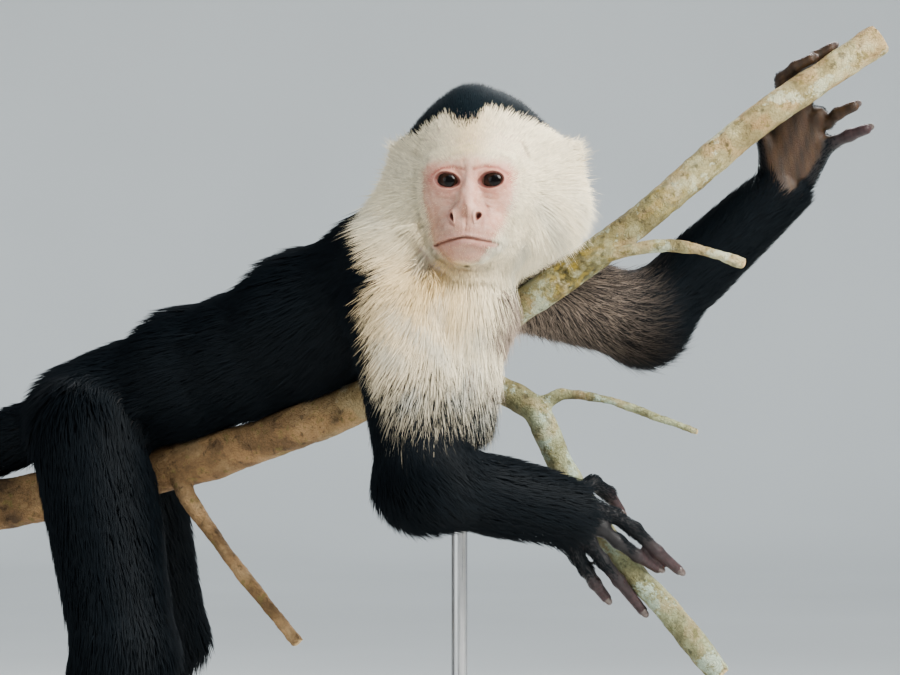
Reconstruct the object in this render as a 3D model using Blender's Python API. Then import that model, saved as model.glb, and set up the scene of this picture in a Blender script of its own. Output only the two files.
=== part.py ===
"""A white-faced capuchin at rest on a branch, life size, held by a display stand.

Metres, +Z up, origin on the underside of the stand's base. The animal lies prone along the branch,
which climbs towards +X, with its legs astride it and its face turned to -Y. Its right limbs are on
the -Y side of the branch and its left limbs on the +Y side.

The body is one smooth union of tapered limbs and ovals, out to the tips of the coat. It is meshed
once, relieved round the branch, and parted with thin cuts into the nodes that a person would name.
"""

import math

import bmesh
import bpy
import numpy as np
from mathutils import Matrix, Vector

MM = 0.001

# Driving sizes, in millimetres.
GAP = 0.3                       # between touching solids
CUT = 0.4                       # thickness of the cuts that part the body
BODY_VOXEL = 1.6                # mesh size before it is thinned
BODY_TRIANGLES = 3760
BODY_BLEND = 14.0               # how softly limbs run into the trunk
DIGIT_BLEND = 2.0
RIM_MERGE = 4.5                 # rim vertices of a cut closer than this become one
RIM_FLAT = 0.01
SLOT_WIDTH = 23.0               # clear width under the branch, between the limbs astride it
SLOT_END = 92.0                 # where that slot ends, along X
HEAD_YAW = 12.0                 # degrees that the face is turned towards -X
EYE_RADIUS = 8.8
EYE_APART = 25.0
EYE_FORWARD = 29.4
EYE_UP = -2.6
BASE_SIZE = (430.0, 236.0, 18.0)
BASE_CORNER = 30.0
BASE_EDGE = 3.0
ROD_RADIUS = 4.5
ROD_TALLEST = 470.0             # before the branch trims it
COLLAR_SIZE = (13.0, 11.0, 5.0)     # lower radius, upper radius, height

# Joints of the skeleton, in millimetres.
JOINTS = {
    "hips": (-147, 53, 404), "loin": (-84, 28, 430), "waist": (-50, 10, 441),
    "ribs": (-20, -6, 457), "withers": (30, -34, 483), "nape": (66, -40, 522),
    "throat": (60, -52, 474), "brisket": (61, -66, 414),
    "collar_right": (37, -50, 494), "collar_left": (99, -42, 501),
    "head": (74.7, -60, 534.8),
    "shoulder_right": (28.6, -70, 466), "elbow_right": (43, -92, 372.5),
    "wrist_right": (118, -67, 353.5),
    "shoulder_left": (65, 4, 488), "elbow_left": (166, 32, 458), "wrist_left": (243, 13, 530),
    "hip_right": (-148, 28, 396), "knee_right": (-125, -14, 276), "ankle_right": (-176, -2, 166),
    "heel_right": (-186, 4, 157), "ball_right": (-166, -16, 112),
    "hip_left": (-137, 80, 400), "knee_left": (-116, 112, 276), "ankle_left": (-156, 112, 168),
    "heel_left": (-166, 110, 158), "ball_left": (-142, 118, 114),
}

# Limbs: joint to joint, the radius out to the tips of the coat at each end, in millimetres.
LIMBS = (
    ("hips", "loin", 35, 36), ("loin", "waist", 36, 36), ("waist", "ribs", 36, 38.5),
    ("ribs", "withers", 40, 40), ("withers", "nape", 39, 36), ("nape", "throat", 34, 33),
    ("throat", "brisket", 33, 22), ("withers", "collar_right", 34, 31),
    ("nape", "collar_left", 34, 29),
    ("shoulder_right", "elbow_right", 28, 25), ("elbow_right", "wrist_right", 26, 22),
    ("shoulder_left", "elbow_left", 28, 24.5), ("elbow_left", "wrist_left", 24.5, 18),
    ("hip_right", "knee_right", 36, 30), ("knee_right", "ankle_right", 26, 14),
    ("ankle_right", "heel_right", 13, 11), ("ankle_right", "ball_right", 12, 13),
    ("hip_left", "knee_left", 35, 29), ("knee_left", "ankle_left", 25, 14),
    ("ankle_left", "heel_left", 13, 11), ("ankle_left", "ball_left", 12, 13),
)

# Ovals of the head, on its own axes: centre (sideways, forward, up), radii, and how softly each
# runs into those before it. Skull, temples, cheeks, throat and bare face.
HEAD_OVALS = (
    ((0, -8, 7.5), (41.5, 48, 43.2), 1), ((0, -6, 6), (51.5, 34, 30), 8),
    ((2, -2, -13), (60, 31, 31), 12), ((0, 8, -30), (33, 30, 22), 10), ((0, 22, -4), (29, 16.5, 24), 8),
)
# Tapered pieces of the face: from, to, radii, softness. Muzzle, chin, nose, brows, nose wings.
FACE_MIDDLE = (
    ((0, 25, -22), (0, 36, -30), 17.5, 12.5, 8), ((0, 33, -40), (0, 31, -38), 9.5, 9.5, 6),
    ((0, 33, 0), (0, 42.5, -20), 5.2, 5.6, 6),
)
FACE_SIDES = (
    ((0, 34, 6), (19, 31, 6), 5.0, 5.5, 6), ((5, 41, -21), (5, 38, -19), 4.2, 4.2, 3),
)
MUZZLE_BLOCK = ((0, 30, -24), (16, 17, 18), 0)  # stands for muzzle and nose before they are shaped
SOCKET = ((13, 42, -3), (9.5, 7, 7), 4)         # the hollow in front of each eye
EAR_PLACE = (44.5, -5, 6)
EAR_RADII = (4.5, 10.5, 16.0)
EAR_LEAN = 24.0
EAR_TURN = 18.0

# Digits: a chain of points from the wrist or the ball of the foot out to the tip, in millimetres.
DIGITS = {
    "hand_right": {
        "index": ((124, -66, 357), (146, -60, 351), (157, -59, 343.5),
                  (170, -53, 331), (182, -46, 320.5)),
        "middle": ((122, -67, 353), (139, -64, 344.5), (148, -61, 337),
                   (159, -55, 329), (170.5, -47, 321.5)),
        "ring": ((120, -66, 348), (133, -64, 335.5), (140, -59, 326.5),
                 (149, -51, 315), (162.5, -43, 298)),
        "little": ((118, -64, 344), (126, -60, 329), (131, -55, 321.5),
                   (136, -49, 313.5), (142.5, -43, 305)),
        "thumb": ((122, -58, 360), (135, -46, 368), (144, -36, 362), (151, -31, 352)),
    },
    "hand_left": {
        "index": ((243, 11, 541), (244, 8, 578), (243, 0, 593), (250, -8, 599), (258, -12, 603)),
        "middle": ((248, 11, 541), (254.5, 6, 580), (253, -2, 597),
                   (261, -8, 604.5), (269.5, -11, 609.5)),
        "ring": ((253, 11, 540), (264, 6, 572), (269, 4, 569), (274, -3, 573.5), (282, -11, 577)),
        "little": ((257, 11, 539), (267, 7, 556), (272, 4, 557.5), (281, 0, 561.5), (289.5, -6, 564.5)),
        "thumb": ((238, 11, 541), (235, 9, 556), (231, 7, 566), (233, 2, 577)),
    },
    "foot_right": {
        "second": ((-168, -18, 116), (-160, -22, 96), (-153, -24, 80), (-150, -20, 68)),
        "third": ((-164, -15, 113), (-155, -16, 92), (-148, -17, 75), (-145, -12, 62)),
        "fourth": ((-161, -10, 112), (-152, -9, 92), (-145, -9, 76), (-142, -4, 65)),
        "fifth": ((-160, -4, 113), (-152, -1, 95), (-146, 1, 81), (-143, 6, 72)),
        "hallux": ((-174, -16, 128), (-178, -30, 116), (-174, -38, 102), (-168, -39, 91)),
    },
    "foot_left": {
        "second": ((-144, 121, 118), (-136, 125, 98), (-129, 127, 82), (-125, 123, 70)),
        "third": ((-140, 118, 115), (-131, 119, 94), (-124, 120, 77), (-120, 116, 64)),
        "fourth": ((-137, 113, 114), (-128, 112, 94), (-121, 112, 78), (-117, 108, 67)),
        "fifth": ((-136, 107, 115), (-128, 104, 97), (-122, 102, 83), (-118, 98, 74)),
        "hallux": ((-150, 118, 130), (-154, 132, 118), (-151, 140, 104), (-145, 141, 93)),
    },
}
DIGIT_RADII = {"hand_right": (9.0, 4.6, 4.1, 3.7, 2.9), "hand_left": (8.0, 6.0, 4.0, 3.7, 3.1),
               "foot_right": (9.0, 4.8, 4.0, 3.1), "foot_left": (9.0, 4.8, 4.0, 3.1)}
THUMB_RADII = (8.0, 4.8, 4.2, 3.2)

# The tail: from the root along the top of the branch, once round it, then hanging free.
TAIL_ROOT = (-168, 62, 400)
TAIL_ON_BRANCH = (-206, 76, 386)
TAIL_RADII = (21.0, 9.0)
TAIL_TURNS = 1.3
TAIL_PITCH = 52.0               # along the branch for each turn
TAIL_STEPS = 22
TAIL_CLEAR = (15.5, 13.0)       # from the bark to the tail's middle, at the start and end of the turns
TAIL_DROP = 118.0
TAIL_CURL = 17.0
TAIL_DROP_STEPS = 8

# The branch and what forks from it: points and radii, in millimetres.
MAIN_BRANCH = ((-294, 85, 337, 15), (-205, 72, 351, 15), (-136, 52, 366, 14), (-77, 25, 381, 13),
               (-7.5, -10, 406, 12), (57, -18, 440, 10.5), (107, -20, 473, 9.5), (162, -20, 513, 9),
               (218, -18, 561, 9), (252, -16, 585, 9), (297, -12, 615, 9))
SIDE_BRANCH = ((57, -18, 438, 8.5), (80, -30, 421, 7.8), (103, -37, 409, 7.4), (118, -39, 378, 7.2),
               (150, -43, 327, 7.2), (178, -44, 297, 7.0), (205, -44, 262, 7.0))
TWIGS = (
    ((103, -37, 409, 5.0), (118, -39, 417, 3.2), (146, -42, 413, 2.9), (168, -46, 405, 2.7),
     (193, -49, 396, 2.4)),
    ((113, -21, 478, 6.0), (132, -29, 489, 4.2), (165, -35, 498, 3.6), (192, -39, 497, 3.4),
     (219, -43, 488, 3.2)),
    ((-98, 36, 374, 8.0), (-92, 18, 358, 5.0), (-70, 8, 328, 4.4), (-48, 3, 300, 4.0),
     (-28, 0, 276, 3.6)),
)
BRANCH_SPACING = 22.0           # between rings of the branch
KNOBS = 0.05                    # how far the branch swells and thins along its length
KNOB_RATE = 2.3
ROD_PLACES = {"stand_rod_rear": -119, "stand_rod_front": 62}    # along X, under the branch

# Where the limbs are parted: node, the joints it lies between, the share of the way from the first
# to the second, and the length and width of the block that takes it off. Outermost parts first.
LIMB_CUTS = (
    ("hand_right", "elbow_right", "wrist_right", 0.93, 110, 84),
    ("forearm_right", "elbow_right", "wrist_right", 0.06, 120, 62),
    ("hand_left", "elbow_left", "wrist_left", 0.95, 110, 100),
    ("forearm_left", "elbow_left", "wrist_left", 0.08, 120, 66),
    ("foot_right", "knee_right", "ankle_right", 0.88, 140, 120),
    ("shank_right", "knee_right", "ankle_right", 0.05, 130, 74),
    ("foot_left", "knee_left", "ankle_left", 0.88, 140, 120),
    ("shank_left", "knee_left", "ankle_left", 0.05, 130, 74),
    ("upper_arm_right", "shoulder_right", "elbow_right", 0.22, 130, 60),
    ("upper_arm_left", "shoulder_left", "elbow_left", 0.34, 130, 74),
    ("thigh_right", "hip_right", "knee_right", 0.26, 160, 84),
    ("thigh_left", "hip_left", "knee_left", 0.26, 160, 82),
)
# Where the tail and the trunk are parted: node, a point and the direction of the cut's face, and
# the block's length and width. The head's cut follows the jaw, down and back.
TAIL_TIP_BLOCK = (180, 60)
JAW = (0, -14, -30)
TRUNK_CUTS = (
    ("tail_coil", (-219, 75, 370), (-1, 0, 0), 120, 130),
    ("tail_base", (-182, 66, 396), (-1, 0.2, -0.25), 60, 70),
    ("head", None, (0.10, -0.55, 0.83), 130, 170),
    ("neck", (44, -30, 474), (0.62, -0.25, 0.60), 120, 150),
    ("chest", (-40, 3, 446), (0.86, -0.38, 0.30), 160, 150),
    ("loin", (-106, 38, 420), (0.86, -0.38, 0.30), 100, 130),
)

COLOURS = {
    "black coat": (0.012, 0.013, 0.017), "cream coat": (0.72, 0.64, 0.48),
    "dark skin": (0.06, 0.045, 0.05), "ear": (0.62, 0.45, 0.38), "eye": (0.02, 0.010, 0.007),
    "bark": (0.42, 0.32, 0.19), "stand wood": (0.10, 0.055, 0.030), "stand steel": (0.55, 0.55, 0.56),
}

HEAD_FRAME = (Matrix.Translation(JOINTS["head"])
              @ Matrix.Rotation(math.radians(-HEAD_YAW), 4, "Z"))


# ---------------------------------------------------------------- form

def on_head(x, forward, up):
    """A point of the head: x towards its left, forward out of the face, up."""
    return np.array(HEAD_FRAME @ Vector((x, -forward, up)))


def in_head(points):
    """World points as (x, forward, up) of the head."""
    inverse = np.array(HEAD_FRAME.inverted())
    local = points @ inverse[:3, :3].T + inverse[:3, 3]
    return local * (1, -1, 1)


def limb_distance(points, start, end, start_radius, end_radius):
    """Distance to a tapered limb with round ends."""
    start = np.asarray(start, float)
    along = np.asarray(end, float) - start
    share = np.clip((points - start) @ along / (along @ along), 0, 1)
    nearest = start + share[:, None] * along
    return np.linalg.norm(points - nearest, axis=1) - (start_radius + share * (end_radius - start_radius))


def oval_distance(points, centre, radii):
    """Distance to an ellipsoid, near enough close to its surface."""
    scaled = (points - centre) / radii
    reach = np.linalg.norm(scaled, axis=1)
    slope = np.linalg.norm(scaled / radii, axis=1)
    return reach * (reach - 1) / np.maximum(slope, 1e-9)


def blend(first, second, width):
    """Smooth union of two distances."""
    mix = np.maximum(width - np.abs(first - second), 0) / width
    return np.minimum(first, second) - mix * mix * width * 0.25


def carve(first, second, width):
    """Smooth subtraction of the second distance from the first."""
    return -blend(-first, second, width)


def branch_at(x, axis):
    """The main branch's Y (axis 1) or Z (axis 2) at x."""
    stations = np.array(MAIN_BRANCH)
    return np.interp(x, stations[:, 0], stations[:, axis])


def digit_radii(part, name):
    return THUMB_RADII if name in ("thumb", "hallux") else DIGIT_RADII[part]


def tail_path():
    """Points and radii of the tail, from root to tip."""
    branch = [Vector(point[:3]) for point in MAIN_BRANCH[:2]]
    axis = (branch[0] - branch[1]).normalized()
    up = Vector((0, 0, 1)) - axis * axis.z
    up.normalize()
    side = axis.cross(up)
    thickness = MAIN_BRANCH[0][3]
    points = [Vector(TAIL_ROOT), Vector(TAIL_ON_BRANCH)]
    start = branch[1] + axis * 14
    for step in range(TAIL_STEPS + 1):
        share = step / TAIL_STEPS
        angle = 2 * math.pi * TAIL_TURNS * share
        reach = thickness + TAIL_CLEAR[0] + (TAIL_CLEAR[1] - TAIL_CLEAR[0]) * share
        centre = start + axis * (TAIL_PITCH * TAIL_TURNS * share)
        points.append(centre + (up * math.cos(angle) - side * math.sin(angle)) * reach)
    fall = points[-1].copy()
    for step in range(1, TAIL_DROP_STEPS + 1):
        share = step / TAIL_DROP_STEPS
        points.append(fall + Vector((-6 * share - TAIL_CURL * share ** 3,
                                     -10 * math.sin(share * 2.4), -TAIL_DROP * share)))
    lengths = [0.0]
    for here, there in zip(points, points[1:]):
        lengths.append(lengths[-1] + (there - here).length)
    first, last = TAIL_RADII
    radii = [first + (last - first) * (length / lengths[-1]) ** 0.8 for length in lengths]
    return points, radii


def head_distance(points):
    """The head out to its coat: crown, cheeks, bare face, muzzle, nose and brow."""
    local = in_head(points)
    head = np.full(len(points), 1e3)
    for centre, radii, softness in HEAD_OVALS:
        head = blend(head, oval_distance(local, centre, radii), softness)
    for start, end, first, last, softness in FACE_MIDDLE:
        head = blend(head, limb_distance(local, start, end, first, last), softness)
    for side in (-1, 1):
        across = np.array((side, 1, 1))
        for start, end, first, last, softness in FACE_SIDES:
            part = limb_distance(local, across * start, across * end, first, last)
            head = blend(head, part, softness)
        centre, radii, softness = SOCKET
        head = carve(head, oval_distance(local, across * centre, radii), softness)
    return head


def body_distance(points):
    """The whole animal out to the tips of its coat, except its eyes and ears."""
    body = np.full(len(points), 1e3)
    for start, end, start_radius, end_radius in LIMBS:
        part = limb_distance(points, JOINTS[start], JOINTS[end], start_radius, end_radius)
        body = blend(body, part, BODY_BLEND)
    path, radii = tail_path()
    tail = np.full(len(points), 1e3)
    for here, there, first, last in zip(path, path[1:], radii, radii[1:]):
        tail = blend(tail, limb_distance(points, here, there, first, last), 3)
    body = blend(body, tail, BODY_BLEND)
    body = blend(body, head_distance(points), 10)
    for part, digits in DIGITS.items():
        for name, chain in digits.items():
            radii = digit_radii(part, name)
            digit = np.full(len(points), 1e3)
            for here, there, first, last in zip(chain, chain[1:], radii, radii[1:]):
                digit = blend(digit, limb_distance(points, here, there, first, last), DIGIT_BLEND)
            body = blend(body, digit, DIGIT_BLEND)
    # The limbs hang on both sides of the branch, with nothing closed under it.
    beside = np.abs(points[:, 1] - branch_at(points[:, 0], 1)) - SLOT_WIDTH / 2
    under = points[:, 2] - branch_at(points[:, 0], 2)
    slot = np.maximum(np.maximum(beside, under), points[:, 0] - SLOT_END)
    return carve(body, slot, 5)


# ---------------------------------------------------------------- making

def clear_scene():
    for thing in list(bpy.data.objects):
        bpy.data.objects.remove(thing, do_unlink=True)


def new_object(name, mesh):
    thing = bpy.data.objects.new(name, mesh)
    bpy.context.scene.collection.objects.link(thing)
    return thing


def from_bmesh(name, bm):
    mesh = bpy.data.meshes.new(name)
    bm.to_mesh(mesh)
    bm.free()
    return new_object(name, mesh)


def evaluated_mesh(thing):
    """The object's mesh with its modifiers applied."""
    graph = bpy.context.evaluated_depsgraph_get()
    return bpy.data.meshes.new_from_object(thing.evaluated_get(graph), depsgraph=graph)


def apply_modifiers(thing):
    mesh = evaluated_mesh(thing)
    thing.modifiers.clear()
    thing.data = mesh
    return thing


def add_tube(bm, path, radii, sides):
    """A round closed tube through the points, its rings square to the path."""
    rings = []
    turn = None
    for index, point in enumerate(path):
        before = path[max(index - 1, 0)]
        after = path[min(index + 1, len(path) - 1)]
        direction = (after - before).normalized()
        if turn is None:
            turn = direction.to_track_quat("Z", "Y")
        else:
            turn = (turn @ Vector((0, 0, 1))).rotation_difference(direction) @ turn
        place = Matrix.Translation(point) @ turn.to_matrix().to_4x4()
        rings.append(bmesh.ops.create_circle(
            bm, segments=sides, radius=radii[index], matrix=place)["verts"])
    for here, there in zip(rings, rings[1:]):
        edges = [edge for ring in (here, there)
                 for edge in {edge for vert in ring for edge in vert.link_edges}
                 if all(vert in ring for vert in edge.verts)]
        bmesh.ops.bridge_loops(bm, edges=edges)
    for ring in (rings[0], rings[-1]):
        bm.faces.new(ring)
    bmesh.ops.recalc_face_normals(bm, faces=bm.faces)


def smooth_path(stations, spacing):
    """Points on a smooth curve through the stations, with radii, evenly enough spaced."""
    points, radii = [], []
    table = [Vector(station[:3]) for station in stations]
    sizes = [station[3] for station in stations]
    for index in range(len(table) - 1):
        p0 = table[max(index - 1, 0)]
        p1, p2 = table[index], table[index + 1]
        p3 = table[min(index + 2, len(table) - 1)]
        steps = max(1, round((p2 - p1).length / spacing))
        for step in range(steps):
            t = step / steps
            points.append(0.5 * (2 * p1 + (p2 - p0) * t + (2 * p0 - 5 * p1 + 4 * p2 - p3) * t * t
                                 + (3 * p1 - p0 - 3 * p2 + p3) * t ** 3))
            radii.append(sizes[index] + (sizes[index + 1] - sizes[index]) * t)
    points.append(table[-1])
    radii.append(sizes[-1])
    return points, radii


def branch_object(name, inflate):
    """The main branch with its fork and twigs, all of it thicker by inflate."""
    pieces = []
    routes = [(MAIN_BRANCH, 12), (SIDE_BRANCH, 8)] + [(twig, 6) for twig in TWIGS]
    for index, (stations, sides) in enumerate(routes):
        points, radii = smooth_path(stations, BRANCH_SPACING)
        knobbly = [radius * (1 + KNOBS * math.sin(KNOB_RATE * step + index)) + inflate
                   for step, radius in enumerate(radii)]
        bm = bmesh.new()
        add_tube(bm, points, knobbly, sides)
        pieces.append(from_bmesh(f"{name}_{index}", bm))
    branch = pieces[0]
    branch.name = name
    for piece in pieces[1:]:
        boolean(branch, piece, "UNION")
        bpy.data.objects.remove(piece)
    return branch


def boolean(thing, other, operation):
    modifier = thing.modifiers.new("cut", "BOOLEAN")
    modifier.operation = operation
    modifier.object = other
    apply_modifiers(thing)


def project(mesh, distance, rounds=4):
    """Moves the vertices on to the surface where the distance is zero."""
    count = len(mesh.vertices)
    points = np.empty(count * 3, np.float32)
    mesh.vertices.foreach_get("co", points)
    points = points.reshape(-1, 3).astype(float)
    step = 0.2
    for _ in range(rounds):
        value = distance(points)
        slope = np.stack([distance(points + step * axis) - value for axis in np.eye(3)], 1) / step
        steepness = np.maximum((slope * slope).sum(1), 0.3)
        move = -(value / steepness)[:, None] * slope
        size = np.linalg.norm(move, axis=1, keepdims=True)
        points += move * np.minimum(1, BODY_VOXEL / np.maximum(size, 1e-9))
    mesh.vertices.foreach_set("co", points.astype(np.float32).ravel())
    mesh.update()


def rough_body():
    """A plain blocking of the body: one tube or oval per part, to be fused."""
    bm = bmesh.new()
    chains = [((JOINTS[start], JOINTS[end]), (first, last)) for start, end, first, last in LIMBS]
    for part, digits in DIGITS.items():
        for name, chain in digits.items():
            chains.append((chain, digit_radii(part, name)))
    chains.append(tail_path())
    for path, radii in chains:
        path = [Vector(point) for point in path]
        add_tube(bm, path, radii, 12)
        for point, radius in zip(path, radii):
            bmesh.ops.create_icosphere(bm, subdivisions=2, radius=radius,
                                       matrix=Matrix.Translation(point))
    for centre, radii, _ in (*HEAD_OVALS, MUZZLE_BLOCK):
        place = Matrix.Translation(on_head(*centre)) @ HEAD_FRAME.to_3x3().to_4x4()
        bmesh.ops.create_icosphere(bm, subdivisions=3, radius=1,
                                   matrix=place @ Matrix.Diagonal((*radii, 1)))
    return from_bmesh("body", bm)


def whole_body():
    """The animal as one closed mesh on its true surface, thinned to the triangle budget."""
    body = rough_body()
    remesh = body.modifiers.new("fuse", "REMESH")
    remesh.mode = "VOXEL"
    remesh.voxel_size = BODY_VOXEL
    apply_modifiers(body)
    project(body.data, body_distance)
    thin = body.modifiers.new("thin", "DECIMATE")
    thin.ratio = BODY_TRIANGLES / (2 * len(body.data.polygons))
    apply_modifiers(body)
    return largest_piece(body)


def connected(start):
    """The vertices that can be reached from one along edges."""
    seen, queue = {start}, [start]
    while queue:
        for edge in queue.pop().link_edges:
            for vert in edge.verts:
                if vert not in seen:
                    seen.add(vert)
                    queue.append(vert)
    return seen


def keep_piece(thing, choose):
    """Keeps one of a mesh's connected pieces: the one that scores highest."""
    bm = bmesh.new()
    bm.from_mesh(thing.data)
    left, pieces = set(bm.verts), []
    for vert in bm.verts:
        if vert in left:
            pieces.append(connected(vert))
            left -= pieces[-1]
    kept = max(pieces, key=choose)
    bmesh.ops.delete(bm, geom=[vert for vert in bm.verts if vert not in kept], context="VERTS")
    bm.to_mesh(thing.data)
    bm.free()
    return thing


def largest_piece(thing):
    return keep_piece(thing, len)


def block(origin, direction, length, width):
    """A square box that starts at a flat face through origin and runs along direction."""
    direction = Vector(direction).normalized()
    across = Vector((0, 0, 1)).cross(direction).normalized()
    turn = Matrix((across, direction.cross(across), direction)).transposed().to_4x4()
    size = Matrix.Diagonal((width, width, length, 1))
    centre = Vector(origin) + direction * (length / 2)
    bm = bmesh.new()
    bmesh.ops.create_cube(bm, size=1, matrix=Matrix.Translation(centre) @ turn @ size)
    return from_bmesh("block", bm)


def parts_to_peel():
    """Node names with the block that each is cut by, outermost parts first."""
    for name, first, last, share, length, width in LIMB_CUTS:
        start, end = Vector(JOINTS[first]), Vector(JOINTS[last])
        yield name, (start.lerp(end, share), end - start, length, width)
    path, _ = tail_path()
    hang = path[-1 - TAIL_DROP_STEPS]
    yield "tail_tip", (hang, path[-1] - hang, *TAIL_TIP_BLOCK)
    for name, origin, direction, length, width in TRUNK_CUTS:
        yield name, (Vector(origin or on_head(*JAW)), Vector(direction), length, width)


def thin_rim(thing, origin, direction, width):
    """Joins the crowded vertices that a cut leaves round its flat face, within the plane of the cut."""
    bm = bmesh.new()
    bm.from_mesh(thing.data)
    direction = Vector(direction).normalized()
    rim = set()
    for vert in bm.verts:
        offset = vert.co - Vector(origin)
        height = offset.dot(direction)
        if abs(height) < RIM_FLAT and (offset - direction * height).length < width / 2 - RIM_MERGE:
            rim.add(vert)
    for _ in range(2):
        used, short = set(), []
        for edge in sorted(bm.edges, key=lambda edge: edge.calc_length()):
            ends = set(edge.verts)
            if edge.calc_length() < RIM_MERGE and ends <= rim and not ends & used:
                short.append(edge)
                used |= {other for vert in ends for link in vert.link_edges for other in link.verts}
        bmesh.ops.collapse(bm, edges=short)
        rim = {vert for vert in rim if vert.is_valid}
    if all(edge.is_manifold for edge in bm.edges):
        bm.to_mesh(thing.data)
    bm.free()


def peel(body, name, shape):
    """Takes one part off the body with a thin cut between them."""
    cutter = block(*shape)
    part = new_object(name, body.data.copy())
    boolean(part, cutter, "INTERSECT")
    bpy.data.objects.remove(cutter)
    origin, direction, length, width = shape
    thin_rim(part, origin, direction, width)
    origin = Vector(origin) - Vector(direction).normalized() * CUT
    wider = block(origin, direction, length + 2 * CUT, width + 2 * CUT)
    boolean(body, wider, "DIFFERENCE")
    bpy.data.objects.remove(wider)
    thin_rim(body, origin, direction, width)
    largest_piece(body)
    return largest_piece(part)


def oval(name, matrix, radii, segments, rings):
    bm = bmesh.new()
    bmesh.ops.create_uvsphere(bm, u_segments=segments, v_segments=rings, radius=1,
                              matrix=matrix @ Matrix.Diagonal((*radii, 1)))
    return from_bmesh(name, bm)


def make_eyes(cutters):
    """Round eyes, each in a socket of its own."""
    for side, name in ((-1, "eye_right"), (1, "eye_left")):
        place = Matrix.Translation(on_head(side * EYE_APART / 2, EYE_FORWARD, EYE_UP))
        oval(name, place, (EYE_RADIUS,) * 3, 14, 9)
        cutters.append(oval("socket", place, (EYE_RADIUS + GAP,) * 3, 14, 9))


def make_ears(cutters):
    """Round ears at the side of the head, their rims just out of the coat."""
    for side, name in ((-1, "ear_right"), (1, "ear_left")):
        lean = Matrix.Rotation(math.radians(side * EAR_LEAN), 4, "Y")
        turn = Matrix.Rotation(math.radians(side * EAR_TURN), 4, "Z")
        out, forward, up = EAR_PLACE
        place = Matrix.Translation(on_head(side * out, forward, up)) @ HEAD_FRAME.to_3x3().to_4x4()
        oval(name, place @ lean @ turn, EAR_RADII, 10, 8)
        seat = [radius + GAP for radius in EAR_RADII]
        cutters.append(oval("ear_seat", place @ lean @ turn, seat, 10, 8))


def make_stand(branch):
    """A flat base and two rods up to the underside of the branch."""
    length, width, height = BASE_SIZE
    bm = bmesh.new()
    bmesh.ops.create_cube(bm, size=1, matrix=Matrix.Translation((0, 0, height / 2))
                          @ Matrix.Diagonal((length, width, height, 1)))
    upright = [edge for edge in bm.edges if abs(edge.verts[0].co.z - edge.verts[1].co.z) > 1]
    bmesh.ops.bevel(bm, geom=upright, offset=BASE_CORNER, segments=4, profile=0.5,
                    affect="EDGES", material=-1)
    rim = [edge for edge in bm.edges if all(vert.co.z > height - 0.01 for vert in edge.verts)]
    bmesh.ops.bevel(bm, geom=rim, offset=BASE_EDGE, segments=1, profile=0.5,
                    affect="EDGES", material=-1)
    from_bmesh("stand_base", bm)
    for name, x in ROD_PLACES.items():
        y = branch_at(x, 1)
        foot = height + GAP
        rod = upright_cylinder(name, (x, y, foot), ROD_RADIUS, ROD_RADIUS, ROD_TALLEST - foot)
        collar = upright_cylinder("collar", (x, y, foot), *COLLAR_SIZE)
        boolean(rod, collar, "UNION")
        bpy.data.objects.remove(collar)
        boolean(rod, branch, "DIFFERENCE")
        keep_piece(rod, lambda piece: -min(vert.co.z for vert in piece))


def upright_cylinder(name, foot, lower_radius, upper_radius, height):
    bm = bmesh.new()
    centre = Vector(foot) + Vector((0, 0, height / 2))
    bmesh.ops.create_cone(bm, cap_ends=True, segments=12, radius1=lower_radius,
                          radius2=upper_radius, depth=height, matrix=Matrix.Translation(centre))
    return from_bmesh(name, bm)


# ---------------------------------------------------------------- finish

def colour_of(name):
    if name.startswith(("hand", "foot")):
        return "dark skin"
    if name.startswith(("head", "neck")):
        return "cream coat"
    for word, colour in (("ear", "ear"), ("eye", "eye"), ("perch", "bark"),
                         ("stand_base", "stand wood"), ("stand_rod", "stand steel")):
        if name.startswith(word):
            return colour
    return "black coat"


def paint(thing):
    colour = colour_of(thing.name)
    material = bpy.data.materials.new(thing.name)
    material.use_nodes = True
    shader = material.node_tree.nodes["Principled BSDF"]
    shader.inputs["Base Color"].default_value = (*COLOURS[colour], 1)
    shader.inputs["Roughness"].default_value = {"eye": 0.08, "stand steel": 0.3}.get(colour, 0.7)
    shader.inputs["Metallic"].default_value = 1.0 if colour == "stand steel" else 0.0
    thing.data.materials.clear()
    thing.data.materials.append(material)


def finish(thing):
    """Scales the mesh from millimetres to metres, shades it and gives it its material."""
    thing.data.transform(Matrix.Scale(MM, 4))
    thing.data.shade_smooth()
    thing.data.set_sharp_from_angle(angle=math.radians(40))
    paint(thing)


def main():
    clear_scene()
    body = whole_body()
    cutters = []
    make_eyes(cutters)
    make_ears(cutters)
    relief = branch_object("relief", 2 * GAP)
    for cutter in (*cutters, relief):
        boolean(body, cutter, "DIFFERENCE")
        bpy.data.objects.remove(cutter)
    for name, shape in parts_to_peel():
        peel(body, name, shape)
    body.name = "hips"
    branch_object("perch_branch", 0.0)
    relief = branch_object("relief", GAP)
    make_stand(relief)
    bpy.data.objects.remove(relief)
    for thing in bpy.data.objects:
        finish(thing)


main()
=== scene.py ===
"""The looks of a white-faced capuchin at rest on a branch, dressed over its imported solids.

One skin replaces all the solids of flesh and lies inside them by the depth of the coat. Tufts of
fur are closed meshes that root in the skin and reach out to where the solids end. Lengths in the
tables below are millimetres in the frame of the solids; meshes are written in metres.
"""

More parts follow.
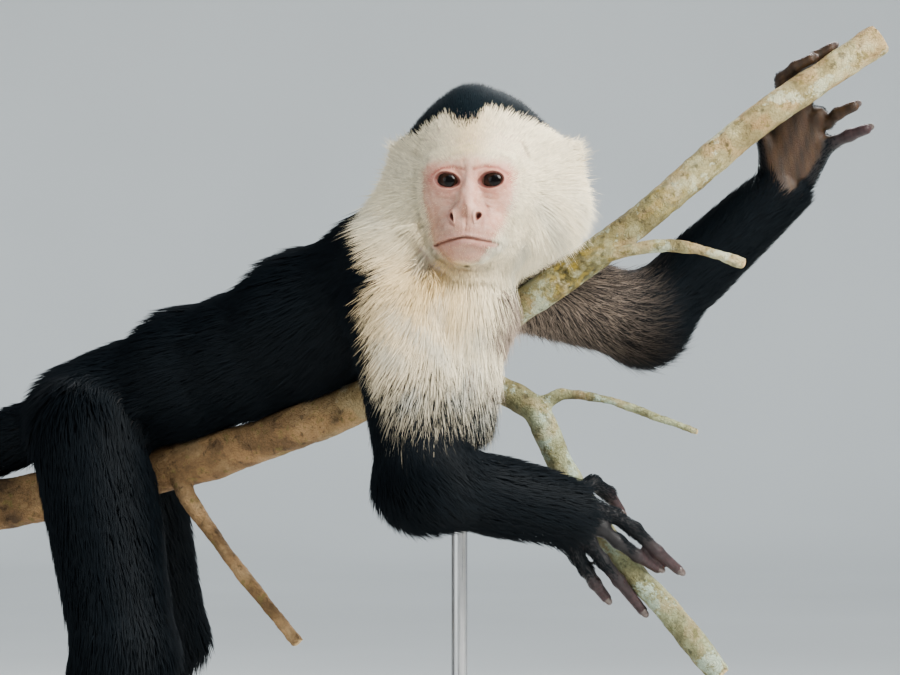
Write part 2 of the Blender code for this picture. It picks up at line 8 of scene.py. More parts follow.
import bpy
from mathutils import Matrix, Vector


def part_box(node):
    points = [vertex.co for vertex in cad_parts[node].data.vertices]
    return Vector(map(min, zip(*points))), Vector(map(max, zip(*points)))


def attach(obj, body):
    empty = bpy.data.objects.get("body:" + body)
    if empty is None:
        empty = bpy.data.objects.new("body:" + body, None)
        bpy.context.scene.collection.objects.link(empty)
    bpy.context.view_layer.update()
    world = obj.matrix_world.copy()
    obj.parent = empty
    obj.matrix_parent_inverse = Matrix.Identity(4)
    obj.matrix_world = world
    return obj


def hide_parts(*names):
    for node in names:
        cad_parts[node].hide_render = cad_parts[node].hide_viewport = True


bl_info = {
    "name": "White-faced capuchin",
    "version": (1, 0, 0),
    "blender": (4, 5, 0),
    "location": "View3D > Sidebar > Capuchin",
    "description": "Skin, coat, eyes, perch, display stand and studio of a life-size capuchin",
    "category": "Object",
}

import math

import bmesh
import bpy
import numpy as np
from mathutils import Matrix, Vector, noise

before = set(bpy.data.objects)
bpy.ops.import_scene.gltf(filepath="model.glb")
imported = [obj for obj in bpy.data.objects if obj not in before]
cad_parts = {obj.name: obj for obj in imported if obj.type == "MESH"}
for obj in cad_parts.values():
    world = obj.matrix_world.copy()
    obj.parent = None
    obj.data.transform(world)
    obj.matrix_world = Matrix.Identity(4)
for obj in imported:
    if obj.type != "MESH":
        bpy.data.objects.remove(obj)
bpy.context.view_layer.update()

MM = 0.001
ROOT = "root"

# ---------------------------------------------------------------- body plan

HEAD_YAW = 12.0                 # degrees that the face is turned towards -X
EYE_RADIUS = 8.8
EYE_PLACE = (12.5, 29.4, -2.6)  # sideways, forward, up, on the head
BODY_BLEND = 14.0
DIGIT_BLEND = 2.5
BLENDS = {"trunk": BODY_BLEND, "tail": 3.0, "palm": 6.5}
COAT_LAYER, SKIN_LAYER = 2, 3   # where a bone holds its radii out to the coat's tips and to the skin
NECK_BLEND = {COAT_LAYER: 18, SKIN_LAYER: 14}   # how softly the head runs into the body, by layer
SLOT_BLEND = 5
SLOT_WIDTH = 23.0               # clear width under the branch, between the limbs astride it
SLOT_END = 92.0

JOINTS = {
    "hips": (-147, 53, 404), "loin": (-84, 28, 430), "waist": (-50, 10, 441),
    "ribs": (-20, -6, 457), "withers": (30, -34, 483), "nape": (66, -40, 522),
    "throat": (60, -52, 474), "brisket": (61, -66, 414),
    "collar_right": (37, -50, 494), "collar_left": (95, -36, 508),
    "head": (74.7, -60, 534.8),
    "shoulder_right": (28.6, -70, 466), "elbow_right": (43, -92, 372.5), "wrist_right": (118, -67, 353.5),
    "shoulder_left": (65, 4, 488), "elbow_left": (166, 32, 458), "wrist_left": (243, 13, 530),
    "hip_right": (-148, 28, 396), "knee_right": (-125, -14, 276), "ankle_right": (-176, -2, 166),
    "heel_right": (-186, 4, 157), "ball_right": (-166, -16, 112),
    "hip_left": (-137, 80, 400), "knee_left": (-116, 112, 276), "ankle_left": (-156, 112, 168),
    "heel_left": (-166, 110, 158), "ball_left": (-142, 118, 114),
}

# Limbs: joint to joint, the coat's radius at each end, the coat's depth at each end, and the part.
# The hair lies from the first joint towards the second.
LIMBS = (
    ("loin", "hips", 36, 35, 6, 6, "rump"), ("waist", "loin", 36, 36, 6, 6, "trunk"),
    ("ribs", "waist", 38.5, 36, 6.5, 6, "trunk"), ("withers", "ribs", 40, 40, 7, 6.5, "trunk"),
    ("nape", "withers", 36, 39, 8, 7, "neck"), ("nape", "throat", 34, 33, 8, 8, "throat"),
    ("throat", "brisket", 33, 22, 8, 7, "throat"),
    ("withers", "collar_right", 34, 31, 7.5, 7.5, "neck"),
    ("nape", "collar_left", 34, 26, 7.5, 7.5, "neck"),
    ("shoulder_right", "elbow_right", 28, 25, 6.5, 5.5, "upper_arm_right"),
    ("elbow_right", "wrist_right", 26, 22, 5.5, 8, "forearm_right"),
    ("shoulder_left", "elbow_left", 28, 24.5, 6.5, 6, "upper_arm_left"),
    ("elbow_left", "wrist_left", 24.5, 18, 6, 5, "forearm_left"),
    ("hip_right", "knee_right", 36, 30, 6.5, 6, "thigh_right"),
    ("knee_right", "ankle_right", 26, 14, 6, 3, "shank_right"),
    ("ankle_right", "heel_right", 13, 11, 2.5, 1.5, "foot_right"),
    ("ankle_right", "ball_right", 12, 13, 2.0, 1.2, "foot_right"),
    ("hip_left", "knee_left", 35, 29, 6.5, 6, "thigh_left"),
    ("knee_left", "ankle_left", 25, 14, 6, 3, "shank_left"),
    ("ankle_left", "heel_left", 13, 11, 2.5, 1.5, "foot_left"),
    ("ankle_left", "ball_left", 12, 13, 2.0, 1.2, "foot_left"),
)

DIGITS = {
    "hand_right": {
        "index": ((124, -66, 357), (146, -60, 351), (157, -59, 343.5), (170, -53, 331), (182, -46, 320.5)),
        "middle": ((122, -67, 353), (139, -64, 344.5), (148, -61, 337), (159, -55, 329), (170.5, -47, 321.5)),
        "ring": ((120, -66, 348), (133, -64, 335.5), (140, -59, 326.5), (149, -51, 315), (162.5, -43, 298)),
        "little": ((118, -64, 344), (126, -60, 329), (131, -55, 321.5), (136, -49, 313.5), (142.5, -43, 305)),
        "thumb": ((122, -58, 360), (135, -46, 368), (144, -36, 362), (151, -31, 352)),
    },
    "hand_left": {
        "index": ((243, 11, 541), (244, 8, 578), (243, 0, 593), (250, -8, 599), (258, -12, 603)),
        "middle": ((248, 11, 541), (254.5, 6, 580), (253, -2, 597), (261, -8, 604.5), (269.5, -11, 609.5)),
        "ring": ((253, 11, 540), (264, 6, 572), (269, 4, 569), (274, -3, 573.5), (282, -11, 577)),
        "little": ((257, 11, 539), (267, 7, 556), (272, 4, 557.5), (281, 0, 561.5), (289.5, -6, 564.5)),
        "thumb": ((238, 11, 541), (235, 9, 556), (231, 7, 566), (233, 2, 577)),
    },
    "foot_right": {
        "second": ((-168, -18, 116), (-160, -22, 96), (-153, -24, 80), (-150, -20, 68)),
        "third": ((-164, -15, 113), (-155, -16, 92), (-148, -17, 75), (-145, -12, 62)),
        "fourth": ((-161, -10, 112), (-152, -9, 92), (-145, -9, 76), (-142, -4, 65)),
        "fifth": ((-160, -4, 113), (-152, -1, 95), (-146, 1, 81), (-143, 6, 72)),
        "hallux": ((-174, -16, 128), (-178, -30, 116), (-174, -38, 102), (-168, -39, 91)),
    },
    "foot_left": {
        "second": ((-144, 121, 118), (-136, 125, 98), (-129, 127, 82), (-125, 123, 70)),
        "third": ((-140, 118, 115), (-131, 119, 94), (-124, 120, 77), (-120, 116, 64)),
        "fourth": ((-137, 113, 114), (-128, 112, 94), (-121, 112, 78), (-117, 108, 67)),
        "fifth": ((-136, 107, 115), (-128, 104, 97), (-122, 102, 83), (-118, 98, 74)),
        "hallux": ((-150, 118, 130), (-154, 132, 118), (-151, 140, 104), (-145, 141, 93)),
    },
}
DIGIT_RADII = {"hand_right": (9.0, 4.6, 4.1, 3.7, 2.9), "hand_left": (8.0, 6.0, 4.0, 3.7, 3.1),
               "foot_right": (9.0, 4.8, 4.0, 3.1), "foot_left": (9.0, 4.8, 4.0, 3.1)}
THUMB_RADII = (8.0, 4.8, 4.2, 3.2)
DIGIT_DEPTHS = (1.6, 0.9, 0.6, 0.4, 0.1)
THUMBS = ("thumb", "hallux")
# The way that the back of each hand and foot faces.
BACKS = {"hand_right": (-0.35, -0.8, 0.45), "hand_left": (0.1, 1.0, 0.25),
         "foot_right": (0.7, -0.45, 0.5), "foot_left": (0.75, 0.3, 0.5)}

TAIL_ROOT = (-168, 62, 400)
TAIL_ON_BRANCH = (-206, 76, 386)
TAIL_RADII = (21.0, 9.0)
TAIL_DEPTHS = (6.0, 3.5)
TAIL_SETBACK = 14               # how far behind the branch's second station the coil starts
TAIL_CLEAR, TAIL_CLOSING = 15.5, 2.5    # from the bark to the tail's middle at first, and how much it loses
TAIL_STEPS, TAIL_FALL_STEPS = 22, 8
TAIL_TURNS = 1.3
TAIL_PITCH = 52.0
TAIL_DROP = 118.0
TAIL_CURL = 17.0

MAIN_BRANCH = ((-294, 85, 337, 15), (-205, 72, 351, 15), (-136, 52, 366, 14), (-77, 25, 381, 13),
               (-7.5, -10, 406, 12), (57, -18, 440, 10.5), (107, -20, 473, 9.5), (162, -20, 513, 9),
               (218, -18, 561, 9), (252, -16, 585, 9), (297, -12, 615, 9))
SIDE_BRANCH = ((57, -18, 438, 8.5), (80, -30, 421, 7.8), (103, -37, 409, 7.4), (118, -39, 378, 7.2),
               (150, -43, 327, 7.2), (178, -44, 297, 7.0), (205, -44, 262, 7.0))
TWIGS = (
    ((103, -37, 409, 5.0), (118, -39, 417, 3.2), (146, -42, 413, 2.9), (168, -46, 405, 2.7),
     (193, -49, 396, 2.4)),
    ((113, -21, 478, 6.0), (132, -29, 489, 4.2), (165, -35, 498, 3.6), (192, -39, 497, 3.4),
     (219, -43, 488, 3.2)),
    ((-98, 36, 374, 8.0), (-92, 18, 358, 5.0), (-70, 8, 328, 4.4), (-48, 3, 300, 4.0),
     (-28, 0, 276, 3.6)),
)
ROD_NODES = ("stand_rod_rear", "stand_rod_front")

# Ovals of the head on its own axes: centre (sideways, forward, up), radii, and how softly each runs
# into those before it. First out to the coat's tips, then on the skin.
COAT_OVALS = (
    ((-3.5, -8, 7.5), (41.5, 48, 43), 1), ((0, -6, 6), (51.5, 34, 30), 8),
    ((-0.5, -2, -13), (58, 31, 31), 12), ((0, 8, -30), (33, 30, 22), 10), ((0, 22, -4), (29, 16.5, 24), 8),
    ((0, 30, -26), (17, 20, 16), 8), ((-7, -8, 20), (24, 34, 33.5), 4),
)
SKIN_OVALS = (
    ((-3, -8, 5.5), (36.5, 43, 39), 1), ((0, -6, 5), (45.5, 29, 25.5), 8), ((0, 13, -5), (27, 24.5, 28), 9),
    ((-0.5, -4, -13.5), (51, 25, 25), 12), ((0, 6, -30), (27, 25, 17), 10),
    ((-1, 28.5, -30), (19.6, 19, 15.0), 6), ((-1.5, 33, -41), (10.5, 9, 6.5), 5),
    ((-7, -8, 18), (21, 30, 29), 3),
)
CHEEKBONE = ((17, 21, -11), (10.5, 13.0, 12), 7)
NOSE = ((0, 32.5, 3), (0, 42, -18), 4.2, 5.4, 5)
NOSE_WING = ((5.4, 41.6, -22), (4.6, 38, -18.5), 4.3, 3.4, 2.5)
BROW = ((3, 33.2, 6.5), (19, 28.5, 5.5), 5.0, 4.8, 5)
SOCKET = ((12.6, 42, -2.8), (9.5, 7.0, 6.4), 4)
HEAD_MIDDLE = (0, -5, -12)      # folds are pressed in towards here

# Folds of the face as lines (sideways, up) on the head: depth and width of the groove.
# Lines marked "both" are repeated on the other side.
FOLDS = (
    ("both", ((2.6, 3.0), (8.5, 4.6), (15.5, 3.8), (20.5, 0.8)), 0.8, 0.9),
    ("both", ((2.4, -3.5), (2.0, 3.0), (3.2, 8.0)), 0.4, 0.9),
    ("both", ((5.0, -8.0), (12.0, -9.8), (19.0, -7.2)), 0.45, 1.1),
    ("both", ((6.0, -11.4), (13.0, -13.2), (19.5, -11.0)), 0.3, 1.2),
    ("both", ((9.6, -18.5), (14.2, -25.5), (18.0, -32.5)), 0.55, 1.7),
    ("both", ((4.6, -14.0), (9.0, -16.8), (10.6, -21.8), (7.6, -27.0)), 0.75, 1.1),
    ("both", ((18.8, -36.4), (20.6, -39.0)), 0.5, 1.3),
    ("one", ((0.0, -17.0), (0.0, -27.0)), 0.8, 1.0),
    ("one", ((0.0, -27.0), (0.0, -32.5)), 0.35, 1.3),
    ("one", ((-9.0, -41.3), (0.0, -42.4), (9.0, -41.3)), 0.35, 1.5),
)
MOUTH = ((-21.3, -37.4), (-14.0, -36.2), (-7.0, -34.6), (-2.5, -33.8), (0.3, -33.6), (3.0, -34.0),
         (10.5, -35.8), (15.3, -36.2))
MOUTH_DEPTH, MOUTH_WIDTH = 1.7, 0.75
NOSTRIL = (7.2, -22.4)          # sideways and up
NOSTRIL_SIZE = (1.25, 2.5)
NOSTRIL_LEAN = 24.0             # degrees that the top leans outwards
NOSTRIL_DEPTH = 4.0
MOLE = (10.6, -39.2)
LID_THICKNESS = 1.4
LID_RAMP = 0.55                 # half the width of the lids' sloping rim
SOCKET_RADIUS = 7.6             # how deep the skin lies behind the eyeball
EYE_OPENING = (6.5, 4.3, 4.0)   # half width, height above and below the middle
INNER_CORNER = 1.22             # how much further the inner corner reaches
EYE_SLANT = 8.0                 # degrees that the outer corner is raised
EAR_PLACE = (41.8, -5, 6)
EAR_LEAN = 24.0
EAR_TURN = 20.0

# The bare face's edge: height, half width, and how much narrower it is towards +X.
FACE_EDGE = ((-52, -48, -43, -38, -33, -24, -10, 2, 9, 14), (3, 10, 16, 19.5, 21.5, 24, 27, 27.5, 22, 10),
             (0, 4, 5, 4.5, 3.5, 2.5, 1, 0.5, 0, 0))
FACE_MIDDLE = -2.0

HEAD_FRAME = Matrix.Translation(JOINTS["head"]) @ Matrix.Rotation(math.radians(-HEAD_YAW), 4, "Z")
HEAD_TURN = HEAD_FRAME.to_3x3().to_4x4()
HEAD_RADIUS = 95.0              # places nearer to its middle than this count as the head's
HEAD_REACH = 100.0              # past this far from its middle, the head has no say
FAR = 1e3                       # further than any two places of the model
FLESH_NODES = ("head", "neck", "chest", "loin", "hips", "ear_left", "ear_right",
               "tail_base", "tail_coil", "tail_tip") + tuple(
    f"{part}_{side}" for part in ("upper_arm", "forearm", "hand", "thigh", "shank", "foot")
    for side in ("left", "right"))


def srgb(red, green, blue):
    """A display colour, 0 to 255, as linear light."""
    return tuple(c / 12.92 if c <= 0.04045 else ((c + 0.055) / 1.055) ** 2.4
                 for c in (red / 255, green / 255, blue / 255))


# ---------------------------------------------------------------- settings

class CapuchinCoat(bpy.types.PropertyGroup):
    density: bpy.props.FloatProperty(
        name="Density", description="Tufts relative to the full coat", default=1.0, min=0.05, max=1.5)
    # The black's slight blue is a painted sheen of the sky on the dark coat.
    black: bpy.props.FloatVectorProperty(
        name="Black", description="Colour of the dark coat", subtype="COLOR", size=3,
        default=srgb(5, 11, 16))
    cream: bpy.props.FloatVectorProperty(
        name="Cream", description="Colour of the pale coat", subtype="COLOR", size=3,
        default=srgb(252, 236, 200))
    # Gold is the throat's own warmer tint, and it is also painted as warm shade low on the left of the mantle
    # and under the chin.
    gold: bpy.props.FloatVectorProperty(
        name="Gold", description="Warmer tint of the throat", subtype="COLOR", size=3,
        default=srgb(234, 196, 132))


class CapuchinSkin(bpy.types.PropertyGroup):
    voxel: bpy.props.FloatProperty(
        name="Mesh size", description="Size of the skin's faces", default=0.002, unit="LENGTH",
        min=0.001, max=0.005)
    face: bpy.props.FloatVectorProperty(
        name="Face", description="Colour of the bare face", subtype="COLOR", size=3,
        default=srgb(214, 168, 147))


class CapuchinStudio(bpy.types.PropertyGroup):
    key_power: bpy.props.FloatProperty(
        name="Key", description="Power of the main light", default=128.0, unit="POWER")
    distance: bpy.props.FloatProperty(
        name="Camera distance", description="From the camera to the middle of the branch",
        default=2.04, unit="LENGTH")


# ---------------------------------------------------------------- distances

def smooth_step(low, high, value):
    share = np.clip((value - low) / (high - low), 0, 1)
    return share * share * (3 - 2 * share)


def unit(vectors):
    return vectors / np.maximum(np.linalg.norm(vectors, axis=-1, keepdims=True), 1e-9)


def far_from(points, place):
    return np.linalg.norm(points - np.array(place), axis=1)


def on_head(x, forward, up):
    return np.array(HEAD_FRAME @ Vector((x, -forward, up)))


def in_head(points):
    """World points as (sideways, forward, up) of the head."""
    inverse = np.array(HEAD_FRAME.inverted())
    return (points @ inverse[:3, :3].T + inverse[:3, 3]) * (1, -1, 1)


def from_head(vectors):
    """Directions on the head as world directions."""
    return (vectors * (1, -1, 1)) @ np.array(HEAD_FRAME)[:3, :3].T


def limb_distance(points, start, end, start_radius, end_radius):
    """Distance to a tapered limb, and how far along it the nearest point is."""
    start = np.asarray(start, float)
    along = np.asarray(end, float) - start
    share = np.clip((points - start) @ along / (along @ along), 0, 1)
    nearest = start + share[:, None] * along
    gap = np.linalg.norm(points - nearest, axis=1)
    return gap - (start_radius + share * (end_radius - start_radius)), share


def oval_distance(points, centre, radii):
    scaled = (points - centre) / radii
    reach = np.linalg.norm(scaled, axis=1)
    slope = np.linalg.norm(scaled / radii, axis=1)
    return reach * (reach - 1) / np.maximum(slope, 1e-9)


def blend(first, second, width):
    mix = np.maximum(width - np.abs(first - second), 0) / width
    return np.minimum(first, second) - mix * mix * width * 0.25


def carve(first, second, width):
    return -blend(-first, second, width)


def line_distance(x, up, line):
    """Distance on the face from (x, up) to a line, and which side of it: positive is above."""
    here = np.stack([x, up], 1)
    best = np.full(len(x), FAR)
    above = np.zeros(len(x))
    for start, end in zip(line, line[1:]):
        start, along = np.array(start), np.subtract(end, start)
        share = np.clip((here - start) @ along / (along @ along), 0, 1)
        away = here - start - share[:, None] * along
        gap = np.linalg.norm(away, axis=1)
        closer = gap < best
        best = np.where(closer, gap, best)
        above = np.where(closer, away[:, 1], above)
    return best, above


def branch_at(x, axis):
    stations = np.array(MAIN_BRANCH)
    return np.interp(x, stations[:, 0], stations[:, axis])


def tail_path():
    """Points, radii and depths of the tail, from root to tip."""
    branch = [Vector(point[:3]) for point in MAIN_BRANCH[:2]]
    axis = (branch[0] - branch[1]).normalized()
    up = (Vector((0, 0, 1)) - axis * axis.z).normalized()
    side = axis.cross(up)
    points = [Vector(TAIL_ROOT), Vector(TAIL_ON_BRANCH)]
    start = branch[1] + axis * TAIL_SETBACK
    for step in range(TAIL_STEPS + 1):
        share = step / TAIL_STEPS
        angle = 2 * math.pi * TAIL_TURNS * share
        reach = MAIN_BRANCH[0][3] + TAIL_CLEAR - TAIL_CLOSING * share
        centre = start + axis * (TAIL_PITCH * TAIL_TURNS * share)
        points.append(centre + (up * math.cos(angle) - side * math.sin(angle)) * reach)
    fall = points[-1].copy()
    for step in range(1, TAIL_FALL_STEPS + 1):
        share = step / TAIL_FALL_STEPS
        points.append(fall + Vector((-6 * share - TAIL_CURL * share ** 3,
                                     -10 * math.sin(share * 2.4), -TAIL_DROP * share)))
    lengths = np.concatenate([[0], np.cumsum([(b - a).length for a, b in zip(points, points[1:])])])
    share = lengths / lengths[-1]
    radii = TAIL_RADII[0] + (TAIL_RADII[1] - TAIL_RADII[0]) * share ** 0.8
    depths = TAIL_DEPTHS[0] + (TAIL_DEPTHS[1] - TAIL_DEPTHS[0]) * share
    return points, radii, depths


def make_bones():
    """Every tapered length of the body as (start, end, coat radii, skin radii, part, chain)."""
    bones = []
    for start, end, first, last, deep, deep_end, part in LIMBS:
        bones.append((JOINTS[start], JOINTS[end], (first, last), (first - deep, last - deep_end),
                      part, "trunk"))
    points, radii, depths = tail_path()
    for index in range(len(points) - 1):
        coat = (radii[index], radii[index + 1])
        skin = (coat[0] - depths[index], coat[1] - depths[index + 1])
        bones.append((points[index], points[index + 1], coat, skin, "tail", "tail"))
    for part, digits in DIGITS.items():
        for name, chain in digits.items():
            sizes = THUMB_RADII if name in THUMBS else DIGIT_RADII[part]
            for index in range(len(chain) - 1):
                coat = (sizes[index], sizes[index + 1])
                skin = (coat[0] - DIGIT_DEPTHS[index], coat[1] - DIGIT_DEPTHS[index + 1])
                fused = f"{part}_{name if index else 'palm'}"
                bones.append((chain[index], chain[index + 1], coat, skin, part, fused))
    return [(np.array(start, float), np.array(end, float), *rest) for start, end, *rest in bones]


BONES = make_bones()
REACH = 34.0                    # past this far from a bone's surface, it has no say


def beside_bone(points, start, end, radii):
    """Which of the points are near enough to a bone for it to have a say."""
    middle = (start + end) / 2
    reach = np.linalg.norm(end - start) / 2 + max(radii) + REACH
    return np.flatnonzero(((points - middle) ** 2).sum(1) < reach * reach)


def chain_distances(points, layer):
    """Distance to each chain of bones, on the coat's layer or the skin's."""
    chains = {}
    for bone in BONES:
        start, end, chain = bone[0], bone[1], bone[5]
        radii = bone[layer]
        close = beside_bone(points, start, end, radii)
        if chain not in chains:
            chains[chain] = np.full(len(points), FAR)
        if not len(close):
            continue
        distance, _ = limb_distance(points[close], start, end, *radii)
        width = BLENDS.get(chain.split("_")[-1], DIGIT_BLEND)
        chains[chain][close] = blend(chains[chain][close], distance, width)
    return chains


def coat_head(local):
    """The head out to the tips of its coat."""
    head = np.full(len(local), FAR)
    for centre, radii, softness in COAT_OVALS:
        head = blend(head, oval_distance(local, centre, radii), softness)
    return head


def eye_offsets(local, side):
    """Places beside an eye as (outward, up) along its slant, and the offset from its centre."""
    offset = local - np.array(EYE_PLACE) * (side, 1, 1)
    slant = math.radians(EYE_SLANT)
    out = offset[:, 0] * side
    across = out * math.cos(slant) + offset[:, 2] * math.sin(slant)
    up = -out * math.sin(slant) + offset[:, 2] * math.cos(slant)
    return across, up, offset


def lid_gap(across, up):
    """Distance on the face to the rim of the eye's opening, negative inside."""
    half, above, below = EYE_OPENING
    tall = np.where(up > 0, above, below)
    half = np.where(across < 0, half * INNER_CORNER, half)
    tall = tall * np.where(across < -3.6, 1 + 0.055 * (across + 3.6), 1)
    reach = np.hypot(across / half, up / tall)
    corner = 1 + 0.10 * np.maximum(np.abs(across) / half - 0.55, 0)
    steep = np.hypot(across / half ** 2, up / tall ** 2) / np.maximum(reach, 1e-6)
    return (reach * corner - 1) / np.maximum(steep, 0.05)


def nostril_reach(local, side):
    """1 on the rim of a nostril, less inside."""
    lean = math.radians(NOSTRIL_LEAN)
    out = (local[:, 0] + 0.8) * side - NOSTRIL[0]
    up = local[:, 2] - NOSTRIL[1]
    across = out * math.cos(lean) - up * math.sin(lean)
    along = out * math.sin(lean) + up * math.cos(lean)
    width = NOSTRIL_SIZE[0] * (1 + 0.16 * along) * (1.3 if side > 0 else 0.9)
    return np.hypot(across / np.maximum(width, 0.4), along / NOSTRIL_SIZE[1])


def skin_head(local):
    """The bare head before its folds are pressed in: skull, face, nose, brow, lids and ears."""
    head = np.full(len(local), FAR)
    for centre, radii, softness in SKIN_OVALS:
        head = blend(head, oval_distance(local, centre, radii), softness)
    start, end, first, last, softness = NOSE
    head = blend(head, limb_distance(local, start, end, first, last)[0], softness)
    for side in (-1, 1):
        across = np.array((side, 1, 1))
        centre, radii, softness = CHEEKBONE
        head = blend(head, oval_distance(local, across * centre, radii), softness)
        for start, end, first, last, softness in (NOSE_WING, BROW):
            part = limb_distance(local, across * start, across * end, first, last)[0]
            head = blend(head, part, softness)
        centre, radii, softness = SOCKET
        head = carve(head, oval_distance(local, across * centre, radii), softness)
        reach = np.linalg.norm(local - np.array(EYE_PLACE) * across, axis=1)
        head = blend(head, reach - EYE_RADIUS - LID_THICKNESS, 2.4)
        head = blend(head, ear_distance(local, side), 3)
    return head


def ear_distance(local, side):
    """A round ear with a hollow, standing off the side of the head."""
    lean = math.radians(EAR_LEAN)
    turn = math.radians(EAR_TURN)
    offset = local - np.array(EAR_PLACE) * (side, 1, 1)
    out = offset[:, 0] * side
    across = out * math.cos(turn) + offset[:, 1] * math.sin(turn)
    forward = -out * math.sin(turn) + offset[:, 1] * math.cos(turn)
    flat = across * math.cos(lean) - offset[:, 2] * math.sin(lean)
    tall = across * math.sin(lean) + offset[:, 2] * math.cos(lean)
    placed = np.stack([flat, forward, tall], 1)
    shell = oval_distance(placed, (0, 0, 0), (3.6, 10.0, 15.5))
    hollow = oval_distance(placed, (3.6, 0.5, 0.5), (3.4, 7.0, 11.5))
    return carve(shell, hollow, 1.5)


def both_ears(local):
    return np.minimum(ear_distance(local, 1), ear_distance(local, -1))


def press_face(points):
    """Presses the folds, the mouth, the nostrils and the openings of the eyes into the skin."""
    local = in_head(points)
    on_front = local[:, 1] > 14
    face = local[on_front]
    x, forward, up = face.T
    shift = np.zeros(len(face))
    for sides, line, depth, width in FOLDS:
        for side in ((-1, 1) if sides == "both" else (1,)):
            gap, _ = line_distance(x * side, up, line)
            shift -= depth * np.exp(-(gap / width) ** 2)
    gap, above = line_distance(x, up, MOUTH)
    shift -= MOUTH_DEPTH * np.exp(-(gap / MOUTH_WIDTH) ** 2)
    middle = np.exp(-(x / 12) ** 2)
    shift += 1.1 * middle * np.exp(-((above + 2.6) / 1.7) ** 2)
    shift += 0.75 * middle * np.exp(-((above - 1.7) / 1.1) ** 2)
    creases = np.sin(up * 2.6 + 1.3 * np.sin(x * 0.55) + 0.8 * np.sin(x * 1.7 + up * 0.4))
    shift += 0.10 * creases * smooth_step(4, 8, np.abs(x)) * smooth_step(-8, -12, up)
    furrows = np.sin(x * 2.9 + 1.1 * np.sin(up * 0.5))
    shift += 0.10 * furrows * np.exp(-((up + 29) / 3.5) ** 2) * middle
    shift += 0.7 * np.exp(-((x - MOLE[0]) ** 2 + (up - MOLE[1]) ** 2) / 0.8)
    for side in (-1, 1):
        reach = nostril_reach(face, side)
        shift -= NOSTRIL_DEPTH * smooth_step(1.15, 0.45, reach)
        shift += 0.7 * np.exp(-((reach - 1.45) / 0.35) ** 2)
    outwards = unit(face - np.array(HEAD_MIDDLE))
    moved = face + outwards * (shift * smooth_step(14, 24, forward))[:, None]
    for side in (-1, 1):
        across, high, offset = eye_offsets(moved, side)
        gap = lid_gap(across, high)
        reach = np.linalg.norm(offset, axis=1)
        inside = smooth_step(LID_RAMP, -LID_RAMP, gap) * (offset[:, 1] > 0) * (np.abs(across) < 9)
        rim = 0.3 * np.exp(-((gap - 0.9) / 0.5) ** 2) * (reach < 12)
        wanted = reach + (SOCKET_RADIUS - reach) * inside + rim
        moved += offset * (wanted / np.maximum(reach, 1e-6) - 1)[:, None]
    local[on_front] = moved
    return from_head(local) + np.array(HEAD_FRAME)[:3, 3]


def body_distance(points, layer):
    """Distance to the surface of the coat's layer or of the skin's."""
    chains = chain_distances(points, layer)
    body = blend(chains.pop("trunk"), chains.pop("tail"), BODY_BLEND)
    head = np.full(len(points), FAR)
    local = in_head(points)
    close = np.flatnonzero((local ** 2).sum(1) < HEAD_REACH ** 2)
    if len(close):
        head_distance = coat_head if layer == COAT_LAYER else skin_head
        head[close] = head_distance(local[close])
    body = blend(body, head, NECK_BLEND[layer])
    for distance in chains.values():
        body = blend(body, distance, DIGIT_BLEND)
    beside = np.abs(points[:, 1] - branch_at(points[:, 0], 1)) - SLOT_WIDTH / 2
    under = points[:, 2] - branch_at(points[:, 0], 2)
    slot = np.maximum(np.maximum(beside, under), points[:, 0] - SLOT_END)
    return carve(body, slot, SLOT_BLEND)


def smooth_route(stations, spacing):
    """Points and radii on a smooth curve through the stations."""
    points, radii = [], []
    table = [Vector(station[:3]) for station in stations]
    sizes = [station[3] for station in stations]
    for index in range(len(table) - 1):
        p0, p1 = table[max(index - 1, 0)], table[index]
        p2, p3 = table[index + 1], table[min(index + 2, len(table) - 1)]
        steps = max(1, round((p2 - p1).length / spacing))
        for step in range(steps):
            t = step / steps
            points.append(0.5 * (2 * p1 + (p2 - p0) * t + (2 * p0 - 5 * p1 + 4 * p2 - p3) * t * t
                                 + (3 * p1 - p0 - 3 * p2 + p3) * t ** 3))
            radii.append(sizes[index] + (sizes[index + 1] - sizes[index]) * t)
    return points + [table[-1]], radii + [sizes[-1]]


def perch_routes():
    return [smooth_route(stations, 12.0) for stations in (MAIN_BRANCH, SIDE_BRANCH, *TWIGS)]


def perch_distance(points):
    """Distance to the branch and its forks, and the direction away from it."""
    best = np.full(len(points), FAR)
    away = np.zeros((len(points), 3))
    for route, radii in perch_routes():
        for here, there, first, last in zip(route, route[1:], radii, radii[1:]):
            start, end = np.array(here), np.array(there)
            close = np.flatnonzero(((points - start) ** 2).sum(1) < 60 ** 2)
            if not len(close):
                continue
            distance, share = limb_distance(points[close], start, end, first, last)
            better = distance < best[close]
            chosen = close[better]
            best[chosen] = distance[better]
            away[chosen] = points[chosen] - start - share[better, None] * (end - start)
    return best, unit(away)


# ---------------------------------------------------------------- mesh helpers

def link(name, mesh):
    thing = bpy.data.objects.new(name, mesh)
    bpy.context.scene.collection.objects.link(thing)
    return thing


def from_bmesh(name, bm):
    mesh = bpy.data.meshes.new(name)
    bm.to_mesh(mesh)
    bm.free()
    return link(name, mesh)


def apply_modifiers(thing):
    graph = bpy.context.evaluated_depsgraph_get()
    mesh = bpy.data.meshes.new_from_object(thing.evaluated_get(graph), depsgraph=graph)
    thing.modifiers.clear()
    old, thing.data = thing.data, mesh
    bpy.data.meshes.remove(old)
    return thing


def vertices_of(mesh, what="co"):
    rows = np.empty(len(mesh.vertices) * 3, np.float32)
    mesh.vertices.foreach_get(what, rows)
    return rows.reshape(-1, 3).astype(float)


def normals_of(mesh):
    return vertices_of(mesh, "normal")


def set_vertices(mesh, points):
    mesh.vertices.foreach_set("co", points.astype(np.float32).ravel())
    mesh.update()


